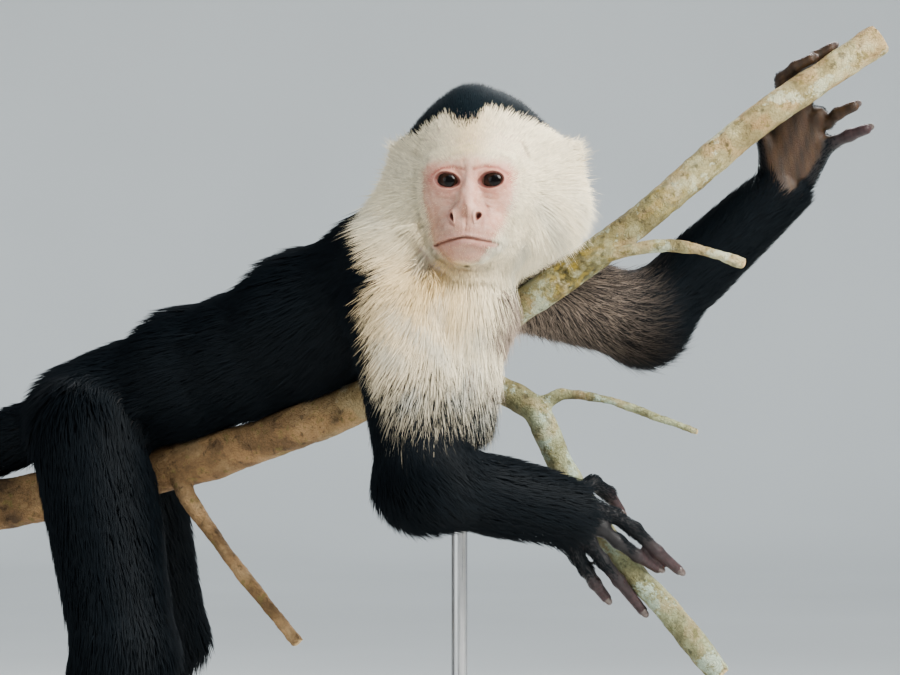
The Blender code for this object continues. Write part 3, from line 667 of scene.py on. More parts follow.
def add_tube(bm, path, radii, sides):
    """A round closed tube through the points, its rings square to the path."""
    rings = []
    turn = None
    for index, point in enumerate(path):
        direction = (Vector(path[min(index + 1, len(path) - 1)])
                     - Vector(path[max(index - 1, 0)])).normalized()
        if turn is None:
            turn = direction.to_track_quat("Z", "Y")
        else:
            turn = (turn @ Vector((0, 0, 1))).rotation_difference(direction) @ turn
        rings.append(bmesh.ops.create_circle(
            bm, segments=sides, radius=radii[index],
            matrix=Matrix.Translation(Vector(point)) @ turn.to_matrix().to_4x4())["verts"])
    for here, there in zip(rings, rings[1:]):
        both = set(here) | set(there)
        edges = {edge for vert in both for edge in vert.link_edges
                 if (set(edge.verts) <= set(here)) or (set(edge.verts) <= set(there))}
        bmesh.ops.bridge_loops(bm, edges=list(edges))
    for ring in (rings[0], rings[-1]):
        bm.faces.new(ring)
    bmesh.ops.recalc_face_normals(bm, faces=bm.faces)


def write_colours(mesh, name, colours):
    layer = mesh.color_attributes.new(name, "FLOAT_COLOR", "POINT")
    rows = np.ones((len(mesh.vertices), 4), np.float32)
    rows[:, :3] = colours
    layer.data.foreach_set("color", rows.ravel())


def wear(thing, material, slot, *nodes):
    """Gives a finished piece its material and its place in the frame."""
    thing.data.materials.clear()
    thing.data.materials.append(material)
    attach(thing, ROOT)
    if nodes:
        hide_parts(*nodes)


# ---------------------------------------------------------------- materials

class Nodes:
    """A short way to write a node tree."""

    def __init__(self, name, roughness, **constants):
        self.material = bpy.data.materials.new(name)
        self.material.use_nodes = True
        self.tree = self.material.node_tree
        self.shader = self.tree.nodes["Principled BSDF"]
        self.shader.inputs["Roughness"].default_value = roughness
        for socket, value in constants.items():
            self.shader.inputs[socket.replace("_", " ")].default_value = value

    def add(self, kind, links=None, **values):
        node = self.tree.nodes.new(kind)
        for key, value in values.items():
            if key in node.inputs:
                node.inputs[key].default_value = value
            else:
                setattr(node, key, value)
        for socket, source in (links or {}).items():
            self.tree.links.new(source, node.inputs[socket])
        return node

    def place(self):
        return self.add("ShaderNodeTexCoord").outputs["Object"]

    def noise(self, scale, detail=4.0, roughness=0.55, vector=None):
        node = self.add("ShaderNodeTexNoise", {"Vector": vector or self.place()},
                        Scale=scale, Detail=detail, Roughness=roughness)
        return node.outputs["Fac"]

    def ramp(self, factor, *stops):
        node = self.add("ShaderNodeValToRGB", {"Fac": factor})
        elements = node.color_ramp.elements
        while len(elements) < len(stops):
            elements.new(0.5)
        for element, (position, colour) in zip(elements, stops):
            element.position = position
            element.color = (*colour, 1)
        return node.outputs["Color"]

    def mix(self, factor, first, second, mode="MIX"):
        node = self.tree.nodes.new("ShaderNodeMix")
        node.data_type = "RGBA"
        node.blend_type = mode
        for index, value in ((0, factor), (6, first), (7, second)):
            if isinstance(value, bpy.types.NodeSocket):
                self.tree.links.new(value, node.inputs[index])
            elif index == 0:
                node.inputs[0].default_value = value
            else:
                node.inputs[index].default_value = (*value, 1)
        return node.outputs[2]

    def math(self, operation, first, second=0.0):
        node = self.tree.nodes.new("ShaderNodeMath")
        node.operation = operation
        for index, value in enumerate((first, second)):
            if isinstance(value, bpy.types.NodeSocket):
                self.tree.links.new(value, node.inputs[index])
            else:
                node.inputs[index].default_value = value
        return node.outputs[0]

    def cells(self, scale, vector):
        """Distance to the edges of small cells."""
        node = self.add("ShaderNodeTexVoronoi", {"Vector": vector}, Scale=scale)
        node.feature = "DISTANCE_TO_EDGE"
        return node.outputs["Distance"]

    def stretched(self, stretch, scale, detail, roughness):
        """Noise drawn out along one way of the piece."""
        node = self.add("ShaderNodeMapping", {"Vector": self.place()})
        node.inputs["Scale"].default_value = stretch
        return self.noise(scale, detail, roughness, node.outputs["Vector"])

    def attribute(self, name, output="Color"):
        return self.add("ShaderNodeAttribute", attribute_name=name).outputs[output]

    def bump(self, height, distance, strength=1.0):
        node = self.add("ShaderNodeBump", {"Height": height}, Distance=distance, Strength=strength)
        self.tree.links.new(node.outputs["Normal"], self.shader.inputs["Normal"])

    def set(self, socket, source):
        self.tree.links.new(source, self.shader.inputs[socket])


def grey(value):
    return (value, value, value)


def skin_material():
    nodes = Nodes("capuchin skin", 0.5, Subsurface_Weight=0.12, Subsurface_Scale=0.004,
                  Specular_IOR_Level=0.26)
    nodes.shader.inputs["Subsurface Radius"].default_value = (1.0, 0.45, 0.3)
    blotch = nodes.ramp(nodes.noise(260, 5), (0.35, srgb(236, 214, 206)), (0.62, grey(1.0)))
    fine = nodes.ramp(nodes.noise(1500, 3), (0.3, grey(0.88)), (0.7, grey(1.0)))
    tone = nodes.mix(0.8, nodes.attribute("tone"), blotch, "MULTIPLY")
    nodes.set("Base Color", nodes.mix(0.8, tone, fine, "MULTIPLY"))
    height = nodes.math("ADD", nodes.math("MULTIPLY", nodes.noise(900, 6), 0.7),
                        nodes.math("MINIMUM", nodes.cells(1400.0, nodes.place()), 0.3))
    nodes.bump(height, 0.00035, 0.7)
    nodes.set("Roughness", nodes.ramp(nodes.noise(500, 3), (0.3, grey(0.42)), (0.7, grey(0.6))))
    return nodes.material


def coat_material():
    nodes = Nodes("capuchin coat", 0.62, Specular_IOR_Level=0.08)
    grain = nodes.ramp(nodes.noise(420, 3), (0.3, grey(0.82)), (0.7, grey(1.0)))
    nodes.set("Base Color", nodes.mix(0.9, nodes.attribute("coat"), grain, "MULTIPLY"))
    return nodes.material


def eye_material():
    nodes = Nodes("wet eye", 0.05, Specular_IOR_Level=0.11, Coat_Weight=0.05, Coat_Roughness=0.02)
    angle = nodes.attribute("iris", "Fac")
    streaks = nodes.noise(1400, 3)
    near_edge = nodes.math("ADD", angle, nodes.math("MULTIPLY", streaks, 0.05))
    colour = nodes.ramp(near_edge, (0.0, srgb(6, 5, 5)), (0.30, srgb(7, 5, 4)), (0.38, srgb(36, 20, 12)),
                        (0.60, srgb(28, 17, 11)), (0.70, srgb(14, 9, 8)), (0.80, srgb(96, 70, 58)),
                        (1.0, srgb(120, 80, 70)))
    nodes.set("Base Color", colour)
    return nodes.material


def nail_material():
    nodes = Nodes("nail", 0.34, Specular_IOR_Level=0.3, Coat_Weight=0.1)
    colour = nodes.ramp(nodes.noise(700, 3), (0.35, srgb(58, 48, 46)), (0.7, srgb(96, 84, 78)))
    nodes.set("Base Color", colour)
    nodes.bump(nodes.noise(1800, 2), 0.0001, 0.4)
    return nodes.material


def bark_material():
    nodes = Nodes("bark", 0.85, Specular_IOR_Level=0.2)
    vector = nodes.place()
    blotch = nodes.noise(42, 7, 0.62, vector)
    fine = nodes.noise(210, 6, 0.6, vector)
    dry = nodes.ramp(blotch, (0.32, srgb(98, 84, 52)), (0.44, srgb(132, 118, 80)),
                     (0.54, srgb(160, 148, 106)), (0.66, srgb(184, 176, 138)))
    brown = nodes.ramp(blotch, (0.30, srgb(72, 54, 36)), (0.50, srgb(122, 94, 62)),
                       (0.72, srgb(164, 136, 98)))
    split = nodes.add("ShaderNodeSeparateColor", {"Color": nodes.attribute("bark")})
    brown_and_shade, moss_share, cut_share = (split.outputs[name] for name in ("Red", "Green", "Blue"))
    # Browner bark towards the lower left: partly the bark's own colour, partly painted shade.
    colour = nodes.mix(brown_and_shade, dry, brown)

    def spots(factor, low, high):
        return nodes.ramp(factor, (low, grey(0)), (high, grey(1)))

    tan = spots(nodes.noise(75, 4, 0.5, vector), 0.50, 0.60)
    colour = nodes.mix(nodes.math("MULTIPLY", tan, 0.4), colour, srgb(176, 136, 92))
    lichen = spots(nodes.noise(58, 6, 0.7, vector), 0.55, 0.60)
    pale_share = nodes.math("MULTIPLY", lichen, nodes.math("SUBTRACT", 1.0, brown_and_shade))
    colour = nodes.mix(nodes.math("MULTIPLY", pale_share, 0.6), colour, srgb(192, 196, 168))
    olive = spots(nodes.noise(150, 6, 0.7, vector), 0.56, 0.62)
    colour = nodes.mix(nodes.math("MULTIPLY", olive, 0.7), colour, srgb(104, 94, 50))
    moss = nodes.ramp(nodes.noise(260, 5), (0.42, srgb(70, 58, 16)), (0.62, srgb(150, 122, 40)))
    patch = nodes.math("MULTIPLY", moss_share, spots(nodes.noise(170, 4), 0.38, 0.50))
    colour = nodes.mix(patch, colour, moss)
    wander = nodes.add("ShaderNodeTexNoise", {"Vector": vector}, Scale=120.0, Detail=3.0)
    gap = nodes.cells(420.0, nodes.mix(0.012, vector, wander.outputs["Color"], "ADD"))
    cracks = nodes.ramp(gap, (0.0, grey(0.6)), (0.12, grey(1.0)))
    colour = nodes.mix(0.4, colour, cracks, "MULTIPLY")
    specks = nodes.ramp(fine, (0.34, grey(0.35)), (0.42, grey(1.0)))
    colour = nodes.mix(0.8, colour, specks, "MULTIPLY")
    # Painted cool shade: darker, greener bark on the side branch below the body and along the middle of the
    # main branch.
    colour = nodes.mix(nodes.attribute("cool_shade", "Fac"), colour, (0.70, 0.86, 0.97), "MULTIPLY")
    wood = nodes.ramp(nodes.noise(90, 4), (0.3, srgb(178, 144, 98)), (0.7, srgb(208, 182, 138)))
    nodes.set("Base Color", nodes.mix(cut_share, colour, wood))
    rough = nodes.math("ADD", nodes.noise(140, 8, 0.65), nodes.math("MULTIPLY", fine, 0.5))
    groove = nodes.math("MULTIPLY", nodes.math("MINIMUM", gap, 0.12), 1.5)
    nodes.bump(nodes.math("ADD", rough, groove), 0.0018, 0.9)
    return nodes.material


def stand_wood_material():
    nodes = Nodes("stand wood", 0.38, Specular_IOR_Level=0.45, Coat_Weight=0.15, Coat_Roughness=0.25)
    grain = nodes.stretched((2.5, 40.0, 40.0), 3.0, 8, 0.62)
    colour = nodes.ramp(grain, (0.30, srgb(44, 27, 18)), (0.48, srgb(74, 46, 30)), (0.66, srgb(104, 68, 44)))
    nodes.set("Base Color", colour)
    nodes.bump(grain, 0.0004, 0.35)
    return nodes.material


def steel_material():
    nodes = Nodes("stand steel", 0.3, Metallic=1.0)
    brushed = nodes.stretched((900.0, 900.0, 14.0), 1.0, 4, 0.6)
    nodes.set("Base Color", nodes.ramp(brushed, (0.3, grey(0.42)), (0.7, grey(0.62))))
    nodes.set("Roughness", nodes.ramp(brushed, (0.3, grey(0.24)), (0.7, grey(0.4))))
    return nodes.material


def stage_material():
    nodes = Nodes("studio paper", 0.9, Specular_IOR_Level=0.1)
    soft = nodes.noise(1.5, 2)
    nodes.set("Base Color", nodes.ramp(soft, (0.3, srgb(222, 224, 222)), (0.7, srgb(228, 230, 228))))
    return nodes.material


# ---------------------------------------------------------------- markings

# The black cap's edge (sideways, up) on the front of the head, with its peak and the notch beside it.
CAP_EDGE = ((-50, -42, -35.6, -29.8, -25, -20.5, -15.8, -12.3, -8.8, -4.2,
             1.6, 4, 5.7, 10.9, 16.7, 22.6, 28.4, 34.2, 42, 50),
            (34, 17, 15.5, 21.5, 26.5, 29, 31, 29.8, 27.5, 26.3,
             28.5, 33, 34.5, 33, 31, 28, 25, 23.5, 21, 34))
PALM_LEAF = ((523, 530, 537, 549, 559, 571), (-2, 3.5, 9, 15, 17, 45))   # height, half width
PALM_MIDDLE = ((525, 537, 550, 560), (244, 247, 249.5, 250))             # height, middle
# Where the pale front meets the dark flank and the dark arm: height, then place along X.
FLANK_EDGE = ((386, 405, 418, 432, 445, 459, 472, 479, 486, 497, 521),
              (36, 30, 29, 22.5, 21.5, 21, 17, 24, 36, 50, 50))
ARM_EDGE = ((400, 440, 448, 456, 466, 476, 488, 510), (110, 104, 90, 77, 73, 79, 96, 140))
DORSAL = ((52, -42, 498), (-0.35, 0.7, 0.62))   # a point of the neck, and the way its back faces
# Painted shade along two folds of the face, the crease over each eye and the line beside the nose.
PAINTED_CREASE_SHADES = ((0, (170, 98, 84), 0.7, 0.9), (5, (164, 118, 106), 0.5, 1.1))   # fold, colour, amount, width


def towards(colour, target, share):
    """The colour moved to the target by a share."""
    colour = np.asarray(colour)
    return colour + (np.asarray(target) - colour) * share


def spot(across, up, centre, reach):
    """A soft patch: 1 at its centre, fading over its reach."""
    return np.exp(-(((across - centre[0]) / reach[0]) ** 2 + ((up - centre[1]) / reach[1]) ** 2))


def middle_of(part):
    """The middle of a hand or foot, by the second joints of its digits."""
    return np.mean([chain[1] for chain in DIGITS[part].values()], axis=0)


def tip_distance(points):
    """Distance to the nearest end of a digit."""
    return np.min([far_from(points, chain[-1]) for digits in DIGITS.values()
                   for chain in digits.values()], axis=0)


def paleness(points):
    """How pale the coat is at each point: 1 is cream, 0 is black, in between it is streaked."""
    x, _, z = points.T
    local = in_head(points)
    side, forward, up = local.T
    edge = np.interp(side, *CAP_EDGE) + 0.42 * np.clip(forward, -60, 0)
    head = np.minimum((edge - up) / (2.0 + 2.5 * np.exp(-((side + 5) / 8) ** 2)), (forward + 27) / 5)
    body = np.minimum((x - np.interp(z, *FLANK_EDGE)) / 7.0,
                      (15 - (points - DORSAL[0]) @ unit(np.array(DORSAL[1]))) / 6.0)
    body = np.minimum(body, (np.interp(z, *ARM_EDGE) - x) / 9.0)
    body = np.minimum(body, (z - 424 - 0.22 * (x - 48)) / 38.0)
    head_share = smooth_step(90, 76, np.linalg.norm(local * (1, 1, 0.9), axis=1))
    head_share *= smooth_step(-52, -40, up + 0.2 * forward)
    head_share *= smooth_step(64, 54, np.abs(side) + 0.5 * np.maximum(-10 - up, 0))
    return smooth_step(-1, 1, head_share * head + (1 - head_share) * body)


def coat_colours(points, settings, random):
    """The coat's colour at each point, streaked where the markings meet. Painted warm shade lies low on the
    left of the mantle and under the chin, and a painted blue sheen lies on the cap.
    """
    pale = paleness(points)
    x, y, z = points.T
    side, forward, high = in_head(points).T
    up = z - JOINTS["head"][2]
    chosen = smooth_step(-0.04, 0.04, pale - random.uniform(0.05, 0.95, len(points)))
    # The throat's own gold tint, with painted warm shade: gold low on the shaded left of the mantle, and a
    # painted shadow under the chin.
    gold_tint_and_shade = smooth_step(75, 25, x) * smooth_step(525, 480, z) * 0.5
    gold_tint_and_shade += 0.7 * spot(x, z, (54, 480), (18, 18))
    pale_colour = towards(settings.cream, settings.gold, np.clip(gold_tint_and_shade, 0, 1)[:, None])
    yellow = 0.8 * np.exp(-((side + 1) / 10) ** 2) * smooth_step(38, 26, high)
    yellow *= smooth_step(4, 12, high) * (forward > 0)
    pale_colour = towards(pale_colour, srgb(230, 204, 156), yellow[:, None])
    cloud = np.sin(x * 0.19 + 1.3 * np.sin(z * 0.11))
    cloud *= np.sin(z * 0.14 + 1.7 * np.sin(x * 0.07 + y * 0.1))
    ash = 0.45 * smooth_step(0.1, 0.9, cloud) + 0.45 * smooth_step(470, 415, z)
    ash *= smooth_step(30, -40, up)
    pale_colour = towards(pale_colour, srgb(206, 204, 190), np.clip(ash, 0, 1)[:, None])
    shade = 1 - np.interp(x, (0, 30, 70), (0.84, 0.9, 1.0))
    pale_colour *= (1 - shade * smooth_step(-30, -50, up))[:, None]
    dark_colour = np.tile(np.array(settings.black), (len(points), 1))
    # Painted sheen: the black of the crown turns lighter and bluer towards the top of the head, where the sky
    # lights it.
    dark_colour = towards(dark_colour, srgb(15, 28, 34), 0.75 * smooth_step(15, 40, high)[:, None])
    grizzle = (smooth_step(46, 30, np.abs(z - 474)) * smooth_step(54, 70, x)
               * smooth_step(182, 126, x) * smooth_step(34, 12, y))
    near = smooth_step(122, 84, x)
    grizzle *= random.uniform(0, 1, len(x)) ** (1.9 - 1.2 * near)
    grey_brown = np.array(srgb(156, 138, 122)) * (1 + 0.45 * near[:, None])
    dark_colour = towards(dark_colour, grey_brown, grizzle[:, None])
    pale_colour *= np.interp(z, (385, 408, 440), (0.3, 0.5, 1.0))[:, None]
    colours = towards(dark_colour, pale_colour, chosen[:, None])
    return colours * random.uniform(0.84, 1.14, len(points))[:, None], chosen


def palm_share(points, normals):
    """1 on the palms and soles, 0 elsewhere; the raised palm narrows to a point at the wrist."""
    share = np.zeros(len(points))
    for part, back in BACKS.items():
        close = smooth_step(66, 48, far_from(points, middle_of(part)))
        faced = close * smooth_step(0.05, 0.4, -(normals @ unit(np.array(back, float))))
        if part == "hand_left":
            half = np.interp(points[:, 2], *PALM_LEAF)
            aside = np.abs(points[:, 0] - np.interp(points[:, 2], *PALM_MIDDLE))
            faced *= smooth_step(-1.5, 1.5, half - aside)
        share = np.maximum(share, faced)
    return share


def skin_tones(points, normals, settings):
    """Colour of the skin: pink face, reddened eyes, dark hands and feet, grey under the coat. Painted shade
    darkens the face's left side, its creases, the nostrils and the mouth's line; painted light brightens the
    face's edge.
    """
    local = in_head(points)
    x, forward, up = local.T
    under = smooth_step(0.45, 0.95, paleness(points)[:, None])
    tones = towards(srgb(16, 15, 17), srgb(226, 208, 184), under)
    hands = np.max([smooth_step(70, 50, far_from(points, middle_of(part))) for part in DIGITS], axis=0)
    tips = tip_distance(points)
    back = towards(srgb(13, 11, 13), srgb(56, 38, 40), smooth_step(26, 4, tips)[:, None] * 0.7)
    back *= 1 + 0.3 * np.sin(tips * 2.3 + 0.7 * np.sin(points[:, 0] * 1.1))[:, None]
    across = points[:, 0] - 0.12 * points[:, 2]
    stripes = 0.5 + 0.3 * np.sin(across * 0.62 + 1.6 * np.sin(points[:, 2] * 0.13))
    stripes += 0.2 * np.sin(across * 1.5 + points[:, 2] * 0.5)
    palm = towards(srgb(36, 25, 13), srgb(60, 41, 22), stripes[:, None])
    hand = towards(back, palm, palm_share(points, normals)[:, None])
    off_head = (local ** 2).sum(1) > HEAD_RADIUS ** 2
    tones = towards(tones, hand, (hands * off_head)[:, None])

    face = smooth_step(14, 20, forward) * smooth_step(64, 54, np.abs(up))

    def dab(colour, amount):
        nonlocal tones
        tones = towards(tones, colour, (np.clip(amount, 0, 1) * face)[:, None])

    dab(settings.face, np.ones(len(points)))
    dab(srgb(156, 121, 104), 0.75 * np.exp(-((x / 18) ** 4 + ((up + 36) / 12) ** 4)))
    dab(srgb(228, 208, 180), 0.9 * smooth_step(4, 9, up) * (1 - 0.7 * np.exp(-(x / 9) ** 2)))
    dab(srgb(192, 160, 132), 0.5 * np.exp(-(x / 9) ** 2) * smooth_step(-1, 5, up))
    # Painted shade: the face's left side, away from the key light, is darker below the brow.
    dab(srgb(156, 122, 104), 0.54 * smooth_step(2, -16, x) * smooth_step(6, -4, up))
    # Pale skin along the face's edge where the coat begins, also a painted light that lifts the shade in the
    # groove between face and coat.
    dab(srgb(228, 208, 186), 0.8 * smooth_step(3.8, -1.5, face_edge(local)))
    for side in (-1, 1):
        dab(srgb(192, 156, 140), 0.55 * spot(x * side, up, (8.5, -14), (4.0, 7.0)))
        dab(srgb(182, 142, 128), 0.6 * spot(x * side, up, (10.5, -22), (2.4, 4.5)))
        across, height, _ = eye_offsets(local, side)
        ring = np.hypot(across / 1.25, height)
        dab(srgb(198, 138, 122), 0.62 * np.exp(-((ring - 6.2) / 2.8) ** 2))
        dab(srgb(186, 112, 100), 0.75 * spot(across, height, (9.5, -0.5), (3.0, 3.2)))
        gap = lid_gap(across, height)
        near = smooth_step(0.9, 0.2, np.abs(gap)) * smooth_step(9.0, 7.5, np.abs(across))
        dab(srgb(92, 54, 48), 0.9 * near)
        dab(srgb(104, 58, 50), smooth_step(0.2, -0.5, gap) * smooth_step(8.5, 7.2, np.abs(across)))
        # The nostrils' red lining, darkened as painted shade inside them.
        dab(srgb(96, 44, 38), smooth_step(1.15, 0.6, nostril_reach(local, side)))
    wedge = (x + 0.8) / np.interp(up, (-24, -13), (3.0, 1.2))
    dab(srgb(112, 72, 54), 0.9 * np.exp(-wedge ** 2) * smooth_step(-25.5, -22, up) * smooth_step(-9, -14, up))
    gap, _ = line_distance(x, up, ((0.0, 5.0), (0.0, -13.0)))
    dab(srgb(184, 146, 132), 0.5 * np.exp(-(gap / 2.5) ** 2))
    # Painted shade along the listed folds.
    for side in (-1, 1):
        for fold, colour, amount, width in PAINTED_CREASE_SHADES:
            gap, _ = line_distance(x * side, up, FOLDS[fold][1])
            dab(srgb(*colour), amount * np.exp(-(gap / width) ** 2))
    gap, above = line_distance(x, up, MOUTH)
    within = smooth_step(20, 14, np.abs(x + 3))
    dab(srgb(168, 122, 112), 0.6 * np.exp(-((above + 2.4) / 2.4) ** 2) * within)
    dab(srgb(196, 152, 140), 0.5 * np.exp(-((above - 1.6) / 1.3) ** 2) * within)
    # The lips' dark edge along the mouth, deepened as painted shade in the mouth's crease, most on the shaded
    # left.
    dab(srgb(104, 56, 44), (0.5 + 0.45 * smooth_step(8, -12, x)) * np.exp(-(gap / 0.7) ** 2))
    dab(srgb(132, 70, 56), spot(x, up, MOLE, (1, 1)))
    return tones


# ---------------------------------------------------------------- skin

LIMB_SIDES = 12
ROUGH_EAR = (4.0, 10.0, 15.5)


def add_limb(bm, ends, radii):
    """A tapered tube with a ball at each end."""
    add_tube(bm, ends, radii, LIMB_SIDES)
    for point, radius in zip(ends, radii):
        bmesh.ops.create_icosphere(bm, subdivisions=2, radius=radius,
                                   matrix=Matrix.Translation(Vector(point)))


def head_place(out, forward, up):
    return Matrix.Translation(Vector(on_head(out, forward, up)))


def rough_skin():
    """A plain blocking of the body: a tube or an oval for each part, to be fused."""
    bm = bmesh.new()
    for start, end, _, radii, _, _ in BONES:
        add_limb(bm, (start, end), radii)
    for centre, radii, _ in SKIN_OVALS:
        place = head_place(*centre) @ HEAD_TURN
        bmesh.ops.create_icosphere(bm, subdivisions=4, radius=1,
                                   matrix=place @ Matrix.Diagonal((*radii, 1)))
    for side in (-1, 1):
        for start, end, first, last, _ in (NOSE, NOSE_WING, BROW):
            ends = [on_head(side * out, forward, up) for out, forward, up in (start, end)]
            add_limb(bm, ends, (first, last))
        out, forward, up = EYE_PLACE
        bmesh.ops.create_icosphere(bm, subdivisions=3, radius=EYE_RADIUS + LID_THICKNESS,
                                   matrix=head_place(side * out, forward, up))
        lean = Matrix.Rotation(math.radians(side * EAR_LEAN), 4, "Y")
        turn = Matrix.Rotation(math.radians(side * EAR_TURN), 4, "Z")
        out, forward, up = EAR_PLACE
        shape = HEAD_TURN @ lean @ turn @ Matrix.Diagonal((*ROUGH_EAR, 1))
        bmesh.ops.create_icosphere(bm, subdivisions=3, radius=1,
                                   matrix=head_place(side * out, forward, up) @ shape)
    return from_bmesh("skin", bm)


def project_to(mesh, distance, rounds, most):
    """Moves the vertices on to the surface where the distance is zero."""
    points = vertices_of(mesh)
    step = 0.15
    for _ in range(rounds):
        value = distance(points)
        slope = np.stack([distance(points + step * axis) - value for axis in np.eye(3)], 1) / step
        steepness = np.maximum((slope * slope).sum(1), 0.35)
        move = -(value / steepness)[:, None] * slope
        size = np.linalg.norm(move, axis=1, keepdims=True)
        points += move * np.minimum(1, most / np.maximum(size, 1e-9))
    set_vertices(mesh, points)


def thin_out(thing, ratio):
    """Leaves larger faces where the coat hides the skin."""
    hidden = np.flatnonzero(~on_fine_parts(vertices_of(thing.data)))
    thing.vertex_groups.new(name="coated").add(hidden.tolist(), 1.0, "REPLACE")
    decimate = thing.modifiers.new("thin out", "DECIMATE")
    decimate.ratio = ratio
    decimate.vertex_group = "coated"
    apply_modifiers(thing)
    thing.vertex_groups.clear()


def subdivide_where(thing, chosen):
    """Splits the faces whose centres are chosen, once."""
    bm = bmesh.new()
    bm.from_mesh(thing.data)
    centres = np.array([face.calc_center_median() for face in bm.faces])
    inside = chosen(centres)
    edges = {edge for face, pick in zip(bm.faces, inside) if pick for edge in face.edges}
    bmesh.ops.subdivide_edges(bm, edges=list(edges), cuts=1, use_grid_fill=True)
    bmesh.ops.triangulate(bm, faces=[face for face in bm.faces if len(face.verts) > 4])
    bm.to_mesh(thing.data)
    bm.free()


def on_fine_parts(points):
    """True on the face and the hands."""
    x, forward, up = in_head(points).T
    fine = (forward > 10) & (np.abs(x) < 32) & (up > -50) & (up < 16)
    for part in ("hand_left", "hand_right"):
        fine |= far_from(points, middle_of(part)) < 46
    return fine


def on_features(points):
    """True round the eyes, the nose and the mouth."""
    x, forward, up = in_head(points).T
    eyes = (np.abs(np.abs(x) - 12.5) < 10.5) & (np.abs(up + 1.5) < 9)
    nose = (np.abs(x) < 13) & (up > -31) & (up < -11)
    mouth = (np.abs(x) < 23) & (up > -43) & (up < -31)
    return (forward > 20) & (eyes | nose | mouth)


def on_rims(points):
    """True on the rims of the eyes and nostrils and along the lips."""
    local = in_head(points)
    rims = np.zeros(len(points), bool)
    for side in (-1, 1):
        across, high, offset = eye_offsets(local, side)
        rims |= (np.abs(lid_gap(across, high)) < 1.8) & (np.abs(across) < 9) & (offset[:, 1] > 0)
        rims |= nostril_reach(local, side) < 1.6
    gap, _ = line_distance(local[:, 0], local[:, 2], MOUTH)
    return (local[:, 1] > 22) & (rims | (gap < 1.7))


def bare_distance(points):
    return body_distance(points, SKIN_LAYER)


def make_skin(settings):
    """The whole skin as one closed mesh, finest on the face."""
    thing = rough_skin()
    remesh = thing.modifiers.new("fuse", "REMESH")
    remesh.mode = "VOXEL"
    remesh.voxel_size = settings.voxel / MM
    apply_modifiers(thing)
    keep_largest(thing)
    thin_out(thing, 0.5)
    project_to(thing.data, bare_distance, 3, 1.8)
    for finer, rounds, most in ((on_fine_parts, 1, 1.0), (on_features, 2, 0.6)):
        subdivide_where(thing, finer)
        project_to(thing.data, bare_distance, rounds, most)
    subdivide_where(thing, on_rims)
    set_vertices(thing.data, press_face(vertices_of(thing.data)))
    return thing


def keep_largest(thing):
    """Drops crumbs that the fusing may leave, keeping the biggest connected piece."""
    bm = bmesh.new()
    bm.from_mesh(thing.data)
    bm.verts.ensure_lookup_table()
    seen, best = set(), []
    for vert in bm.verts:
        if vert in seen:
            continue
        piece, queue = [], [vert]
        seen.add(vert)
        while queue:
            here = queue.pop()
            piece.append(here)
            for edge in here.link_edges:
                there = edge.other_vert(here)
                if there not in seen:
                    seen.add(there)
                    queue.append(there)
        if len(piece) > len(best):
            best = piece
    kept = set(best)
    bmesh.ops.delete(bm, geom=[vert for vert in bm.verts if vert not in kept], context="VERTS")
    bm.to_mesh(thing.data)
    bm.free()


# ---------------------------------------------------------------- coat

# Growth by part: tufts for each mm2, length, width, and how far they stray (radians).
GROWTH = {
    "face": (0.35, 1.7, 0.12, 0.25), "forehead": (6.0, 5.5, 0.32, 0.12),
    "crown": (2.6, 8.5, 0.38, 0.08), "cheeks": (4.6, 16.0, 0.38, 0.15),
    "throat": (3.9, 24.0, 0.45, 0.15), "neck": (2.3, 23.0, 0.52, 0.14),
    "trunk": (0.56, 24.0, 0.85, 0.09), "rump": (0.5, 24.0, 0.95, 0.09),
    "upper_arm_right": (2.0, 20.0, 0.48, 0.16), "forearm_right": (0.9, 18.0, 0.7, 0.13),
    "upper_arm_left": (1.7, 15.0, 0.42, 0.32), "forearm_left": (0.85, 15.0, 0.66, 0.12),
    "thigh_right": (0.5, 22.0, 1.0, 0.10), "thigh_left": (0.36, 22.0, 1.1, 0.10),
    "shank_right": (0.5, 15.0, 0.9, 0.10), "shank_left": (0.45, 15.0, 0.95, 0.10),
    "tail": (0.34, 14.0, 1.1, 0.10), "hand_right": (1.7, 6.0, 0.42, 0.13),
    "hand_left": (1.2, 5.5, 0.42, 0.13), "foot_right": (0.55, 6.5, 0.55, 0.12),
    "foot_left": (0.5, 6.5, 0.55, 0.12),
}
LOCK_TURN = np.array(((0.36, 0.48, -0.8), (-0.8, 0.6, 0.0), (0.48, 0.64, 0.6)))
LONG_LOCKS = ("cheeks", "throat", "neck", "upper_arm_left")
FAN = (68, -74, 522)            # the mantle's hair runs out and down from here, under the chin
FAN_REACH = (150, 95)
PARTS = tuple(GROWTH)
FACE, CHEEKS = PARTS.index("face"), PARTS.index("cheeks")
LAST_HEAD_PART = CHEEKS
GATHERING = {"throat": 0.38, "neck": 0.38, "crown": 0.08, "forehead": 0.08}   # how far locks draw together
USUAL_GATHERING = 0.2
LOCK_CELLS = {"throat": 5.0, "neck": 5.0}
USUAL_CELL = 3.2
TUFT_STEPS = (0, 0.42, 1)       # root, widest place and tip along a tuft
TUFT_CORNERS = ((-0.5, -0.16), (0.5, -0.16), (0.0, 0.36))   # sideways and up at its widest, in widths
TUFT_FACES = ((0, 1, 2), (4, 2, 1), (0, 2, 3), (4, 3, 2), (0, 3, 1), (4, 1, 3))
TUFT_LEVELS = np.array((0, 0.5, 0.5, 0.5, 1))   # root, three corners and tip
TUFT_ACROSS = np.array((0, -0.5, 0.5, 0, 0))
MOST_TUFT_FACES = 190_000       # triangles in one piece of the coat
ATLAS_COLUMNS = 5
UV_PATCH = 0.003
FORM_SHADE = 0.8                # how far a tuft's own sides show, over the form that it lies on
UV_NAME = "OFBake"


